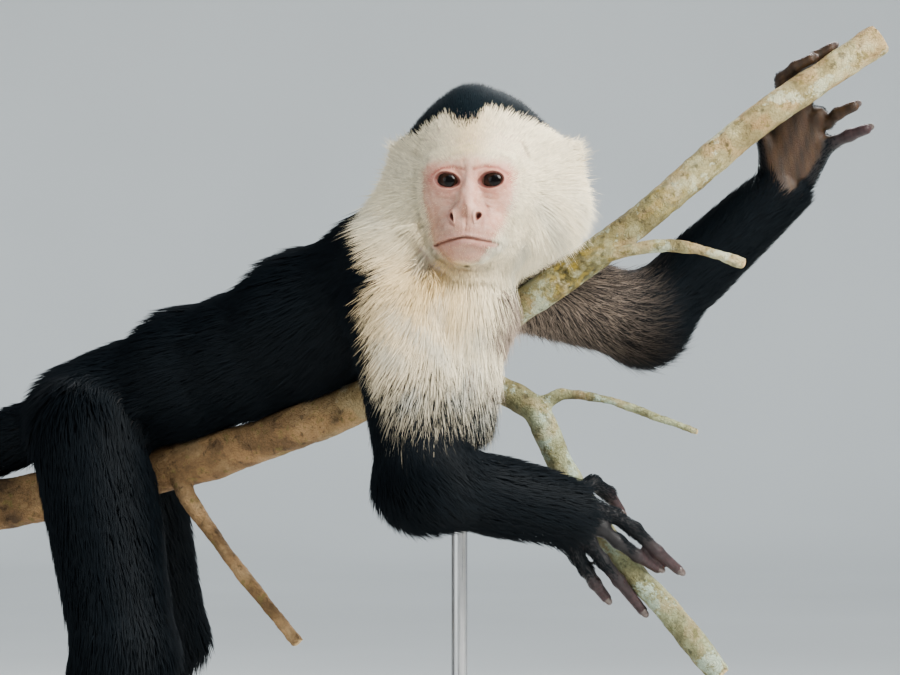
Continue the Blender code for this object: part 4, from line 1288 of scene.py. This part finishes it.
def survey(points):
    """For points on the skin: part, way the hair lies, and place on an unwrap of the skin."""
    count = len(points)
    nearest = np.full(count, FAR)
    part = np.zeros(count, int)
    lie = np.zeros((count, 3))
    unwrap = np.zeros((count, 2))
    for start, end, _, radii, name, _ in BONES:
        close = beside_bone(points, start, end, radii)
        if not len(close):
            continue
        distance, share = limb_distance(points[close], start, end, *radii)
        axis = unit(end - start)
        lie[close] += np.exp(-np.clip(distance, -4, 60) / 4)[:, None] * axis
        better = distance < nearest[close]
        chosen = close[better]
        nearest[chosen] = distance[better]
        part[chosen] = PARTS.index(name)
        up = np.cross(axis, (0.31, 0.87, 0.39))
        offset = points[chosen] - start
        angle = np.arctan2(offset @ unit(np.cross(axis, up)), offset @ unit(up))
        unwrap[chosen] = np.stack([angle / (2 * math.pi) + 0.5, share[better]], 1)
    away = points - np.array(FAN)
    fan = smooth_step(*FAN_REACH, np.linalg.norm(away, axis=1))[:, None]
    lie = unit(lie) * (1 - fan) + unit(away) * (fan * 1.5)
    local = in_head(points)
    close = np.flatnonzero((local ** 2).sum(1) < HEAD_REACH ** 2)
    near = local[close]
    distance = skin_head(near)
    weight = np.exp(-np.clip(distance, -4, 60) / 4)[:, None]
    lie[close] += weight * from_head(head_lie(near)) * 3
    better = distance < nearest[close] + 1.0
    chosen = close[better]
    x, forward, up = near[better].T
    region = np.where((up > 8) & (forward > 20), PARTS.index("forehead"), CHEEKS)
    region = np.where((up > 14 + 0.2 * forward) & (forward <= 26), PARTS.index("crown"), region)
    region = np.where(bare_face(near[better]) > 0.6, FACE, region)
    part[chosen] = region
    unwrap[chosen] = np.stack([np.arctan2(x, forward) / (2 * math.pi) + 0.5,
                               np.clip(up / 110 + 0.5, 0, 1)], 1)
    return part, unit(lie), unwrap


def head_lie(local):
    """The way the hair lies on the head: away from the face, back over the crown, down the cheeks."""
    x, forward, up = local.T
    away = unit(np.stack([x * 1.2, forward - 44, (up + 12) * 1.05], 1))
    back = smooth_step(12, 30, up)[:, None]
    away = unit(away + back * np.array((0, -1.3, 0.1)))
    low = smooth_step(-6, -32, up) * smooth_step(16, 30, np.abs(x) + np.maximum(-40 - up, 0) * 3)
    away = unit(away + low[:, None] * np.array((0, 0.25, -2.0)))
    return unit(away + smooth_step(6, -20, up)[:, None] * np.array((0, 0, -0.45)))


def face_edge(local):
    """How far inside the bare face's edge a place on the front of the head is."""
    x, _, up = local.T
    heights, widths, narrower = FACE_EDGE
    width = np.interp(up, heights, widths) - np.interp(up, heights, narrower) * smooth_step(-2, 8, x)
    top = 8.5 - up + 0.16 * np.abs(x) + 3.5 * np.exp(-(x / 7) ** 2)
    return np.minimum(width + 1.0 - np.abs(x - FACE_MIDDLE), np.minimum(up + 49.0, top))


def bare_face(local):
    """1 on the bare face, 0 where the coat of the head begins."""
    on_head_front = (local[:, 1] > 8) * ((local ** 2).sum(1) < HEAD_RADIUS ** 2)
    return smooth_step(-4.5, 3.5, face_edge(local)) * on_head_front


def bareness(points, normals):
    """0 where the coat is full, 1 where the skin is bare: face, palms, soles, finger ends, ears."""
    local = in_head(points)
    bare = bare_face(local)
    on_ears = ((local ** 2).sum(1) < HEAD_RADIUS ** 2) & (both_ears(local) < 0.8)
    bare = np.where(on_ears & (np.abs(local[:, 0]) > 46), np.maximum(bare, 0.75), bare)
    for digits in DIGITS.values():
        for name, chain in digits.items():
            start, end = (16, 9) if name in THUMBS else (28, 17)
            bare = np.maximum(bare, smooth_step(start, end, far_from(points, chain[-1])))
    return np.maximum(bare, palm_share(points, normals))


def sample_roots(mesh, settings, random):
    """Roots of the tufts on the skin, with the skin's normals there."""
    mesh.calc_loop_triangles()
    triangles = np.empty(len(mesh.loop_triangles) * 3, np.int32)
    mesh.loop_triangles.foreach_get("vertices", triangles)
    triangles = triangles.reshape(-1, 3)
    points, normals = vertices_of(mesh), normals_of(mesh)
    corners = points[triangles]
    spans = np.cross(corners[:, 1] - corners[:, 0], corners[:, 2] - corners[:, 0])
    areas = np.linalg.norm(spans, axis=1) / 2
    centres = corners.mean(1)
    facing = unit(normals[triangles].mean(1))
    part, _, _ = survey(centres)
    density = np.array([GROWTH[name][0] for name in PARTS])[part] * settings.density
    bare = bareness(centres, facing)
    local = in_head(centres)
    clear = line_distance(local[:, 0], local[:, 2], MOUTH)[0] > 1.5
    for side in (-1, 1):
        across, high, _ = eye_offsets(local, side)
        clear &= (lid_gap(across, high) > 1.6) & (nostril_reach(local, side) > 1.8)
    stubble = (part == FACE) * clear * (1 + 9 * smooth_step(6.5, 0, face_edge(local)))
    density *= np.where(part == FACE, stubble, 1 - bare)
    edge = (bare > 0.02) & (bare < 0.9) & (part > 0) & (part <= LAST_HEAD_PART)
    density = np.where(edge, density * 2.2 + 0.6, density)
    wanted = areas * density
    number = int(wanted.sum())
    ends = np.cumsum(wanted)
    picks = (np.arange(number) + random.uniform(0, 1, number)) / number * ends[-1]
    faces = np.minimum(np.searchsorted(ends, picks), len(triangles) - 1)
    first, second = random.uniform(0, 1, (2, number))
    flip = first + second > 1
    first[flip], second[flip] = 1 - first[flip], 1 - second[flip]
    weights = np.stack([1 - first - second, first, second], 1)
    roots = (corners[faces] * weights[:, :, None]).sum(1)
    ups = unit((normals[triangles[faces]] * weights[:, :, None]).sum(1))
    return roots, ups


def shape_tufts(roots, ups, lies, lengths, heights, stray, random):
    """Centre lines of the tufts: rooted in the skin, rising, then lying along the coat."""
    count = len(roots)
    sideways = unit(np.cross(lies, ups))
    lies = unit(lies + sideways * (random.normal(0, 1, count) * stray)[:, None])
    sideways = unit(np.cross(lies, ups))
    bend = random.normal(0, 0.06, count) * lengths
    run = lengths * np.sqrt(np.maximum(1 - (heights / lengths) ** 2, 0.15))
    lines = []
    for step in TUFT_STEPS:
        lift = heights * (1 - (1 - step) ** 1.9) - 0.6 * (step == 0)
        lines.append(roots + lies * (run * step)[:, None] + ups * lift[:, None]
                     + sideways * (bend * step ** 2)[:, None])
    return np.stack(lines, 1), sideways


def locks_of(roots, cell, random):
    """Numbers the tufts by the small cell that they are rooted in."""
    loose = roots + random.normal(0, 0.22 * cell, roots.shape) + random.uniform(0, cell, 3)
    keys = np.floor(loose @ LOCK_TURN / cell).astype(np.int64)
    keys = keys[:, 0] * 73856093 ^ keys[:, 1] * 19349663 ^ keys[:, 2] * 83492791
    return np.unique(keys, return_inverse=True)[1]


def gather(lines, lock, share):
    """Draws the ends of the tufts of each lock together."""
    size = np.bincount(lock)
    for ring in range(1, lines.shape[1]):
        step = ring / (lines.shape[1] - 1)
        mean = np.stack([np.bincount(lock, lines[:, ring, axis]) / size for axis in range(3)], 1)
        lines[:, ring] += (mean[lock] - lines[:, ring]) * share * step ** 1.5


def clear_perch(lines):
    """Pushes the tufts out of the branch, and says which are rooted inside it."""
    count, rings, _ = lines.shape
    distance, away = perch_distance(lines.reshape(-1, 3))
    push = np.clip(1.2 - distance, 0, 8)
    lines += (away * push[:, None]).reshape(count, rings, 3)
    draped = np.zeros(count, bool)
    for behind in (7, 14, 21):
        draped |= perch_distance(lines[:, -1] + (0, behind, 0))[0] < 0
    draped &= lines[:, -1, 0] > 80
    lines[draped] = lines[draped, :1] + (lines[draped] - lines[draped, :1]) * 0.4
    return distance.reshape(count, rings)[:, 0] > -2.0


def tuft_mesh(name, lines, sideways, ups, widths, colours, pale, places):
    """Closed three-sided tufts along the lines, pointed at both ends, their roots in the skin."""
    count, verts = len(lines), len(TUFT_LEVELS)
    points = np.empty((count, verts, 3), np.float32)
    normals = np.tile(ups[:, None, :], (1, verts, 1))
    points[:, 0], points[:, -1] = lines[:, 0], lines[:, -1]
    for corner, (across, high) in enumerate(TUFT_CORNERS):
        out = sideways * across + ups * high
        points[:, 1 + corner] = lines[:, 1] + out * widths[:, None]
        normals[:, 1 + corner] += out * FORM_SHADE
    loops = ((np.arange(count) * verts)[:, None] + np.ravel(TUFT_FACES)).ravel()
    starts = np.arange(0, len(loops), 3, dtype=np.int32)
    mesh = bpy.data.meshes.new(name)
    mesh.vertices.add(count * verts)
    mesh.vertices.foreach_set("co", (points * MM).ravel())
    mesh.loops.add(len(loops))
    mesh.loops.foreach_set("vertex_index", loops.astype(np.int32))
    mesh.polygons.add(len(starts))
    mesh.polygons.foreach_set("loop_start", starts)
    mesh.update(calc_edges=True)
    mesh.shade_smooth()
    shade = 1.06 - (0.42 - 0.24 * pale[:, None]) * (1 - TUFT_LEVELS[None, :]) ** 1.5
    write_colours(mesh, "coat", (colours[:, None, :] * shade[:, :, None]).reshape(-1, 3))
    patch = np.stack([TUFT_ACROSS, TUFT_LEVELS - 0.5], 1) * UV_PATCH
    uv = (places[:, None, :] + patch[None]).reshape(-1, 2)
    mesh.uv_layers.new(name=UV_NAME).data.foreach_set("uv", uv[loops].astype(np.float32).ravel())
    mesh.normals_split_custom_set_from_vertices(unit(normals).reshape(-1, 3).tolist())
    return link(name, mesh)


def atlas(part, unwrap):
    """Lays the unwrap of each part in a cell of its own."""
    rows = math.ceil(len(PARTS) / ATLAS_COLUMNS)
    column, row = part % ATLAS_COLUMNS, part // ATLAS_COLUMNS
    inner = 0.04 + 0.92 * unwrap
    return np.stack([(column + inner[:, 0]) / ATLAS_COLUMNS, (row + inner[:, 1]) / rows], 1)


def make_coat(skin_mesh, settings):
    """All tufts of the coat, in pieces by part of the body."""
    random = np.random.default_rng(7)
    roots, ups = sample_roots(skin_mesh, settings, random)
    part, lies, unwrap = survey(roots)
    lies = unit(lies - ups * (lies * ups).sum(1, keepdims=True))
    table = np.array([GROWTH[name] for name in PARTS])[part]
    depth = np.maximum(-body_distance(roots, COAT_LAYER), 0.4)
    lengths = table[:, 1] * random.uniform(0.7, 1.2, len(roots))
    widths = table[:, 2] * random.uniform(0.75, 1.25, len(roots))
    local = in_head(roots)
    rim = smooth_step(0, 16, np.maximum(np.abs(local[:, 0]) - 24, 0) + np.maximum(18 - local[:, 1], 0) * 0.8
                      + np.maximum(local[:, 2] - 10, 0) * 0.4 + np.maximum(-46 - local[:, 2], 0))
    lower = smooth_step(-6, -30, local[:, 2]) * (part == CHEEKS)
    lengths *= 1 + 0.6 * lower * smooth_step(24, 36, np.abs(local[:, 0]))
    on_front = (part > 0) & (part <= LAST_HEAD_PART) & (local[:, 1] > 0)
    lengths = np.where(on_front, lengths * (0.28 + 0.72 * rim), lengths)
    near_coat = (part == FACE) * smooth_step(6, -1, face_edge(local))
    lengths *= 1 + 1.2 * near_coat
    widths *= 1 + 0.8 * near_coat
    widths = np.where(on_front, widths * (0.65 + 0.35 * rim), widths)
    on_ears = smooth_step(1.5, 0.5, both_ears(local)) * (np.abs(local[:, 0]) > 44)
    lengths *= 1 - 0.6 * on_ears * (part <= LAST_HEAD_PART)
    lengths *= 1 - 0.55 * smooth_step(70, 45, tip_distance(roots))
    top = random.uniform(0, 1, len(roots)) ** 0.5
    wispy = (part == CHEEKS) & (np.abs(local[:, 0]) > 36)
    top = np.where(wispy, top ** 2.6, top)
    heights = np.minimum(depth * (0.45 + 0.57 * top), lengths * np.where(on_front, 0.75, 0.62))
    long_parts = [PARTS.index(name) for name in LONG_LOCKS]
    loose = (random.uniform(0, 1, len(roots)) < 0.05) & np.isin(part, long_parts)
    lengths = np.where(loose, lengths * 1.3, lengths)
    heights = np.where(loose, heights * 1.45 + 1, heights)
    widths = np.where(loose, widths * 0.6, widths)
    colours, pale = coat_colours(roots, settings, random)
    stubble = (part == FACE) * smooth_step(2, 6, face_edge(local))
    colours *= 1 - stubble[:, None] * (0.14, 0.28, 0.32)
    pieces = []
    for index, name in enumerate(PARTS):
        chosen = np.flatnonzero(part == index)
        lines, sideways = shape_tufts(roots[chosen], ups[chosen], lies[chosen], lengths[chosen],
                                      heights[chosen], table[chosen, 3], random)
        lock = locks_of(roots[chosen], LOCK_CELLS.get(name, USUAL_CELL), random)
        gather(lines, lock, GATHERING.get(name, USUAL_GATHERING))
        shade = random.uniform(0.88, 1.05, len(chosen))
        colours[chosen] *= shade[lock][:, None]
        free = clear_perch(lines)
        lines, sideways, chosen = lines[free], sideways[free], chosen[free]
        shares = math.ceil(len(chosen) * len(TUFT_FACES) / MOST_TUFT_FACES)
        for number in range(shares):
            mine = np.arange(len(chosen)) % shares == number
            rows = chosen[mine]
            label = f"fur_{name}" if shares == 1 else f"fur_{name}_{number + 1}"
            places = atlas(part[rows], unwrap[rows])
            piece = tuft_mesh(label, lines[mine], sideways[mine], ups[rows], widths[rows],
                              colours[rows], pale[rows], places)
            pieces.append((piece, name))
    return pieces


# ---------------------------------------------------------------- eyes, nails, perch, stand

IRIS_SPAN = 62                  # degrees from the pupil's middle to where the eye's colours end
CORNEA_SPAN = 27
CORNEA_RISE = 0.75
BARK_RELIEF = ((1.1, 0.035), (0.7, 0.11), (0.35, 0.35))     # height, and bumps for each millimetre
MOSS_PATCHES = ((1.0, (124, -24, 486), 22), (0.5, (176, -24, 526), 16))   # amount, place, reach
BASE_CORNER, BASE_EDGE = 0.030, 0.003
ROD_RADIUS = 0.0045
ROD_FOOT = ((0, 0.0), (0.013, 0.0), (0.013, 0.0032), (0.0122, 0.0046), (0.0070, 0.0052),
            (0.0047, 0.0062), (ROD_RADIUS, 0.0080))     # radius, height
SHARP_ANGLE = 35                # degrees


def make_eye(name, side, camera):
    """A round eye with a bulging cornea, turned to the viewer."""
    centre = Vector(on_head(EYE_PLACE[0] * side, EYE_PLACE[1], EYE_PLACE[2]))
    gaze = (camera - centre).normalized()
    turn = gaze.to_track_quat("Z", "Y").to_matrix().to_4x4()
    bm = bmesh.new()
    bmesh.ops.create_uvsphere(bm, u_segments=64, v_segments=48, radius=EYE_RADIUS - 0.15)
    angles = []
    for vert in bm.verts:
        angle = math.acos(max(-1, min(1, vert.co.normalized().z)))
        angles.append(angle / math.radians(IRIS_SPAN))
        bulge = math.exp(-(angle / math.radians(CORNEA_SPAN)) ** 4) * CORNEA_RISE
        vert.co *= 1 + bulge / EYE_RADIUS
    bm.transform(Matrix.Scale(MM, 4) @ Matrix.Translation(centre) @ turn)
    thing = from_bmesh(name, bm)
    thing.data.shade_smooth()
    layer = thing.data.attributes.new("iris", "FLOAT", "POINT")
    layer.data.foreach_set("value", np.array(angles, np.float32))
    return thing


def make_nails():
    """A thin curved nail over the end of every digit."""
    bm = bmesh.new()
    for part, digits in DIGITS.items():
        back = Vector(BACKS[part]).normalized()
        for name, chain in digits.items():
            tip, before = Vector(chain[-1]), Vector(chain[-2])
            along = (tip - before).normalized()
            up = (back - along * back.dot(along)).normalized()
            across = along.cross(up)
            radius = (THUMB_RADII if name in THUMBS else DIGIT_RADII[part])[-1]
            turn = Matrix((across, along, up)).transposed().to_4x4()
            centre = tip + up * (radius * 0.62) + along * (radius * 0.35)
            place = Matrix.Scale(MM, 4) @ Matrix.Translation(centre) @ turn
            shape = Matrix.Diagonal((radius * 0.72, radius * 1.15, radius * 0.42, 1))
            bmesh.ops.create_uvsphere(bm, u_segments=16, v_segments=10, radius=1,
                                      matrix=place @ shape)
    bmesh.ops.recalc_face_normals(bm, faces=bm.faces)
    thing = from_bmesh("nails", bm)
    thing.data.shade_smooth()
    return thing


def make_perch():
    """The branch with its fork and twigs, knobbly, with clean cut ends."""
    bm = bmesh.new()
    ends = []
    for index, (route, radii) in enumerate(perch_routes()):
        add_tube(bm, route, radii, 24)
        ends.append((route[-1], (route[-1] - route[-2]).normalized(), radii[-1]))
        if index == 0:
            ends.append((route[0], (route[0] - route[1]).normalized(), radii[0]))
    thing = from_bmesh("perch", bm)
    remesh = thing.modifiers.new("fuse", "REMESH")
    remesh.mode = "VOXEL"
    remesh.voxel_size = 1.6
    apply_modifiers(thing)
    smooth = thing.modifiers.new("soften", "SMOOTH")
    smooth.factor = 0.5
    smooth.iterations = 4
    apply_modifiers(thing)
    mesh = thing.data
    points, normals = vertices_of(mesh), normals_of(mesh)
    relief = np.array([sum(height * noise.noise(Vector(point) * rate) for height, rate in BARK_RELIEF)
                       for point in points])
    cut = np.zeros(len(points))
    for centre, direction, radius in ends:
        offset = points - np.array(centre)
        height = offset @ np.array(direction)
        facing = normals @ np.array(direction) > 0.6
        flat = (np.linalg.norm(offset, axis=1) < radius * 1.5) & (height > -1.2) & facing
        cut = np.maximum(cut, flat)
    points += normals * ((relief * (1 - cut) - 0.1)[:, None] * 0.8)
    set_vertices(mesh, points * MM)
    tones = np.zeros((len(points), 3))
    # Browner towards the lower left, partly the bark's own colour and partly painted shade.
    tones[:, 0] = smooth_step(60, -40, points[:, 0])
    moss = sum(amount * np.exp(-(far_from(points, place) / reach) ** 2)
               for amount, place, reach in MOSS_PATCHES)
    tones[:, 1] = np.clip(moss, 0, 1)
    tones[:, 2] = cut
    write_colours(mesh, "bark", tones)
    # Painted cool shade on the side branch below the body and along the middle of the main branch.
    aside = smooth_step(60, 100, points[:, 0]) * smooth_step(440, 415, points[:, 2])
    along = 0.55 * smooth_step(30, 80, points[:, 0]) * smooth_step(230, 150, points[:, 0])
    write_colours(mesh, "cool_shade", np.maximum(aside, along)[:, None])
    mesh.shade_smooth()
    return thing


def make_base():
    """The stand's flat wooden base, its corners round and its upper edge eased."""
    low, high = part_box("stand_base")
    bm = bmesh.new()
    size = Vector(high) - Vector(low)
    centre = (Vector(high) + Vector(low)) / 2
    bmesh.ops.create_cube(bm, size=1, matrix=Matrix.Translation(centre) @ Matrix.Diagonal((*size, 1)))
    upright = [edge for edge in bm.edges if abs(edge.verts[0].co.z - edge.verts[1].co.z) > size.z / 2]
    bmesh.ops.bevel(bm, geom=upright, offset=BASE_CORNER, segments=16, profile=0.5,
                    affect="EDGES", material=-1)
    rim = [edge for edge in bm.edges if all(vert.co.z > high[2] - 1e-5 for vert in edge.verts)]
    bmesh.ops.bevel(bm, geom=rim, offset=BASE_EDGE, segments=5, profile=0.5,
                    affect="EDGES", material=-1)
    thing = from_bmesh("stand_base_dressed", bm)
    thing.data.shade_smooth()
    thing.data.set_sharp_from_angle(angle=math.radians(SHARP_ANGLE))
    return thing


def make_rod(node):
    """A round steel rod with a stepped collar at its foot."""
    low, high = (Vector(corner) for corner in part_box(node))
    x, y = (low.x + high.x) / 2, (low.y + high.y) / 2
    bm = bmesh.new()
    tall = high.z - low.z
    outline = [*ROD_FOOT, (ROD_RADIUS, tall), (0, tall)]
    verts = [bm.verts.new((x + radius, y, low.z + height)) for radius, height in outline]
    edges = [bm.edges.new(pair) for pair in zip(verts, verts[1:])]
    bmesh.ops.spin(bm, geom=verts + edges, cent=(x, y, 0), axis=(0, 0, 1), angle=2 * math.pi,
                   steps=48, use_merge=True)
    bmesh.ops.remove_doubles(bm, verts=bm.verts, dist=1e-6)
    bmesh.ops.recalc_face_normals(bm, faces=bm.faces)
    thing = from_bmesh(f"{node}_dressed", bm)
    thing.data.shade_smooth()
    thing.data.set_sharp_from_angle(angle=math.radians(SHARP_ANGLE))
    return thing


# ---------------------------------------------------------------- operators

PALE_PARTS = ("cheeks", "throat", "forehead")
CAMERA_X, CAMERA_Z = 56.75, 448.0       # millimetres
LENS, SENSOR = 145.45, 36
FLOOR_HALF, FLOOR_MIDDLE = 4.0, 1.0
SWEEP_RADIUS, SWEEP_STEPS = 1.2, 12     # from the floor up into the wall
WALL_HEIGHT = 4.0
# Each lamp's name, place, size, power against the main light's, and colour.
LAMPS = (("key", (1.35, -1.1, 1.6), 1.1, 1.0, (1.0, 0.98, 0.93)),
         ("fill", (-1.6, -1.4, 0.9), 1.4, 0.13, (0.92, 0.98, 0.98)),
         ("rim", (0.5, 1.3, 1.7), 1.0, 0.5, (1.0, 1.0, 1.0)))
LAMP_AIM = (0.03, 0, 0.42)


class CAPUCHIN_OT_skin(bpy.types.Operator):
    """Make the whole skin, with the face's folds and lids"""
    bl_idname = "capuchin.skin"
    bl_label = "Skin"

    def execute(self, context):
        settings = context.scene.capuchin_skin
        thing = make_skin(settings)
        points, normals = vertices_of(thing.data), normals_of(thing.data)
        write_colours(thing.data, "tone", skin_tones(points, normals, settings))
        thing.data.shade_smooth()
        wear(thing, skin_material(), "dark_skin", *FLESH_NODES)
        return {"FINISHED"}


class CAPUCHIN_OT_coat(bpy.types.Operator):
    """Grow the coat on the skin, then bring the skin to its real size"""
    bl_idname = "capuchin.coat"
    bl_label = "Coat"

    def execute(self, context):
        skin = bpy.data.objects["skin"]
        material = coat_material()
        for piece, part in make_coat(skin.data, context.scene.capuchin_coat):
            wear(piece, material, "cream_coat" if part in PALE_PARTS else "black_coat")
        skin.data.transform(Matrix.Scale(MM, 4))
        return {"FINISHED"}


class CAPUCHIN_OT_eyes(bpy.types.Operator):
    """Set the eyes in their sockets"""
    bl_idname = "capuchin.eyes"
    bl_label = "Eyes"

    def execute(self, context):
        material = eye_material()
        camera = Vector((CAMERA_X, -context.scene.capuchin_studio.distance / MM, CAMERA_Z))
        for name, side in (("left", 1), ("right", -1)):
            wear(make_eye(f"eyeball_{name}", side, camera), material, "eye", f"eye_{name}")
        return {"FINISHED"}


class CAPUCHIN_OT_nails(bpy.types.Operator):
    """Put a nail on every finger and toe"""
    bl_idname = "capuchin.nails"
    bl_label = "Nails"

    def execute(self, context):
        wear(make_nails(), nail_material(), "dark_skin")
        return {"FINISHED"}


class CAPUCHIN_OT_perch(bpy.types.Operator):
    """Make the cut length of branch"""
    bl_idname = "capuchin.perch"
    bl_label = "Perch"

    def execute(self, context):
        wear(make_perch(), bark_material(), "bark", "perch_branch")
        return {"FINISHED"}


class CAPUCHIN_OT_stand(bpy.types.Operator):
    """Make the display stand: base and rods"""
    bl_idname = "capuchin.stand"
    bl_label = "Stand"

    def execute(self, context):
        wear(make_base(), stand_wood_material(), "stand_wood", "stand_base")
        steel = steel_material()
        for node in ROD_NODES:
            wear(make_rod(node), steel, "stand_steel", node)
        return {"FINISHED"}


class CAPUCHIN_OT_studio(bpy.types.Operator):
    """Set the pale floor, the soft lights and the camera"""
    bl_idname = "capuchin.studio"
    bl_label = "Studio"

    def execute(self, context):
        settings = context.scene.capuchin_studio
        bm = bmesh.new()
        bmesh.ops.create_grid(bm, x_segments=8, y_segments=8, size=FLOOR_HALF,
                              matrix=Matrix.Translation((0, FLOOR_MIDDLE, 0)))
        back = FLOOR_MIDDLE + FLOOR_HALF
        far = [edge for edge in bm.edges
               if edge.is_boundary and all(vert.co.y > back - 0.1 for vert in edge.verts)]
        bmesh.ops.spin(bm, geom=far, cent=(0, back, SWEEP_RADIUS), axis=(-1, 0, 0), angle=-math.pi / 2,
                       steps=SWEEP_STEPS)
        wall = [edge for edge in bm.edges if edge.is_boundary
                and all(vert.co.z > SWEEP_RADIUS - 1e-4 for vert in edge.verts)]
        raised = bmesh.ops.extrude_edge_only(bm, edges=wall)["geom"]
        upper = [part for part in raised if isinstance(part, bmesh.types.BMVert)]
        bmesh.ops.translate(bm, vec=(0, 0, WALL_HEIGHT), verts=upper)
        bmesh.ops.remove_doubles(bm, verts=bm.verts, dist=1e-5)
        floor = from_bmesh("floor", bm)
        floor.data.shade_smooth()
        floor.data.materials.append(stage_material())
        for name, place, size, power, colour in LAMPS:
            self.light(name, place, size, settings.key_power * power, colour)
        sun = bpy.data.lights.new("sky", "SUN")
        sun.energy = 1.2
        sun.angle = math.radians(40)
        sky = bpy.data.objects.new("sky", sun)
        sun.color = (0.78, 0.9, 1.0)
        sky.rotation_euler = (math.radians(38), math.radians(18), 0)
        context.scene.collection.objects.link(sky)
        world = bpy.data.worlds.new("studio")
        world.use_nodes = True
        background = world.node_tree.nodes["Background"].inputs
        background["Color"].default_value = (0.88, 0.93, 1.0, 1)
        background["Strength"].default_value = 0.42
        context.scene.world = world
        camera = bpy.data.cameras.new("camera")
        camera.lens = LENS
        camera.sensor_width = SENSOR
        view = bpy.data.objects.new("camera", camera)
        context.scene.collection.objects.link(view)
        view.location = (CAMERA_X * MM, -settings.distance, CAMERA_Z * MM)
        view.rotation_euler = (math.pi / 2, 0, 0)
        context.scene.camera = view
        return {"FINISHED"}

    def light(self, name, place, size, power, colour):
        lamp = bpy.data.lights.new(name, "AREA")
        lamp.size = size
        lamp.energy = power
        lamp.color = colour
        thing = bpy.data.objects.new(name, lamp)
        thing.location = place
        aim = Vector(LAMP_AIM) - Vector(place)
        thing.rotation_euler = aim.to_track_quat("-Z", "Y").to_euler()
        bpy.context.scene.collection.objects.link(thing)


class CAPUCHIN_PT_panel(bpy.types.Panel):
    """Lists the capuchin's pieces and their settings"""
    bl_label = "Capuchin"
    bl_space_type = "VIEW_3D"
    bl_region_type = "UI"
    bl_category = "Capuchin"

    def draw(self, context):
        for group in (context.scene.capuchin_skin, context.scene.capuchin_coat,
                      context.scene.capuchin_studio):
            box = self.layout.box()
            for name in group.__annotations__:
                box.prop(group, name)
        for operator in OPERATORS:
            self.layout.operator(operator.bl_idname)


OPERATORS = (CAPUCHIN_OT_skin, CAPUCHIN_OT_coat, CAPUCHIN_OT_eyes, CAPUCHIN_OT_nails,
             CAPUCHIN_OT_perch, CAPUCHIN_OT_stand, CAPUCHIN_OT_studio)
GROUPS = {"capuchin_coat": CapuchinCoat, "capuchin_skin": CapuchinSkin,
          "capuchin_studio": CapuchinStudio}


def register():
    for thing in (*GROUPS.values(), *OPERATORS, CAPUCHIN_PT_panel):
        bpy.utils.register_class(thing)
    for name, group in GROUPS.items():
        setattr(bpy.types.Scene, name, bpy.props.PointerProperty(type=group))


def unregister():
    for name in GROUPS:
        delattr(bpy.types.Scene, name)
    for thing in (CAPUCHIN_PT_panel, *reversed(OPERATORS), *GROUPS.values()):
        bpy.utils.unregister_class(thing)


def main():
    register()
    for operator in OPERATORS:
        group, name = operator.bl_idname.split(".")
        getattr(getattr(bpy.ops, group), name)()
    bpy.context.view_layer.update()


if __name__ == "__main__":
    main()
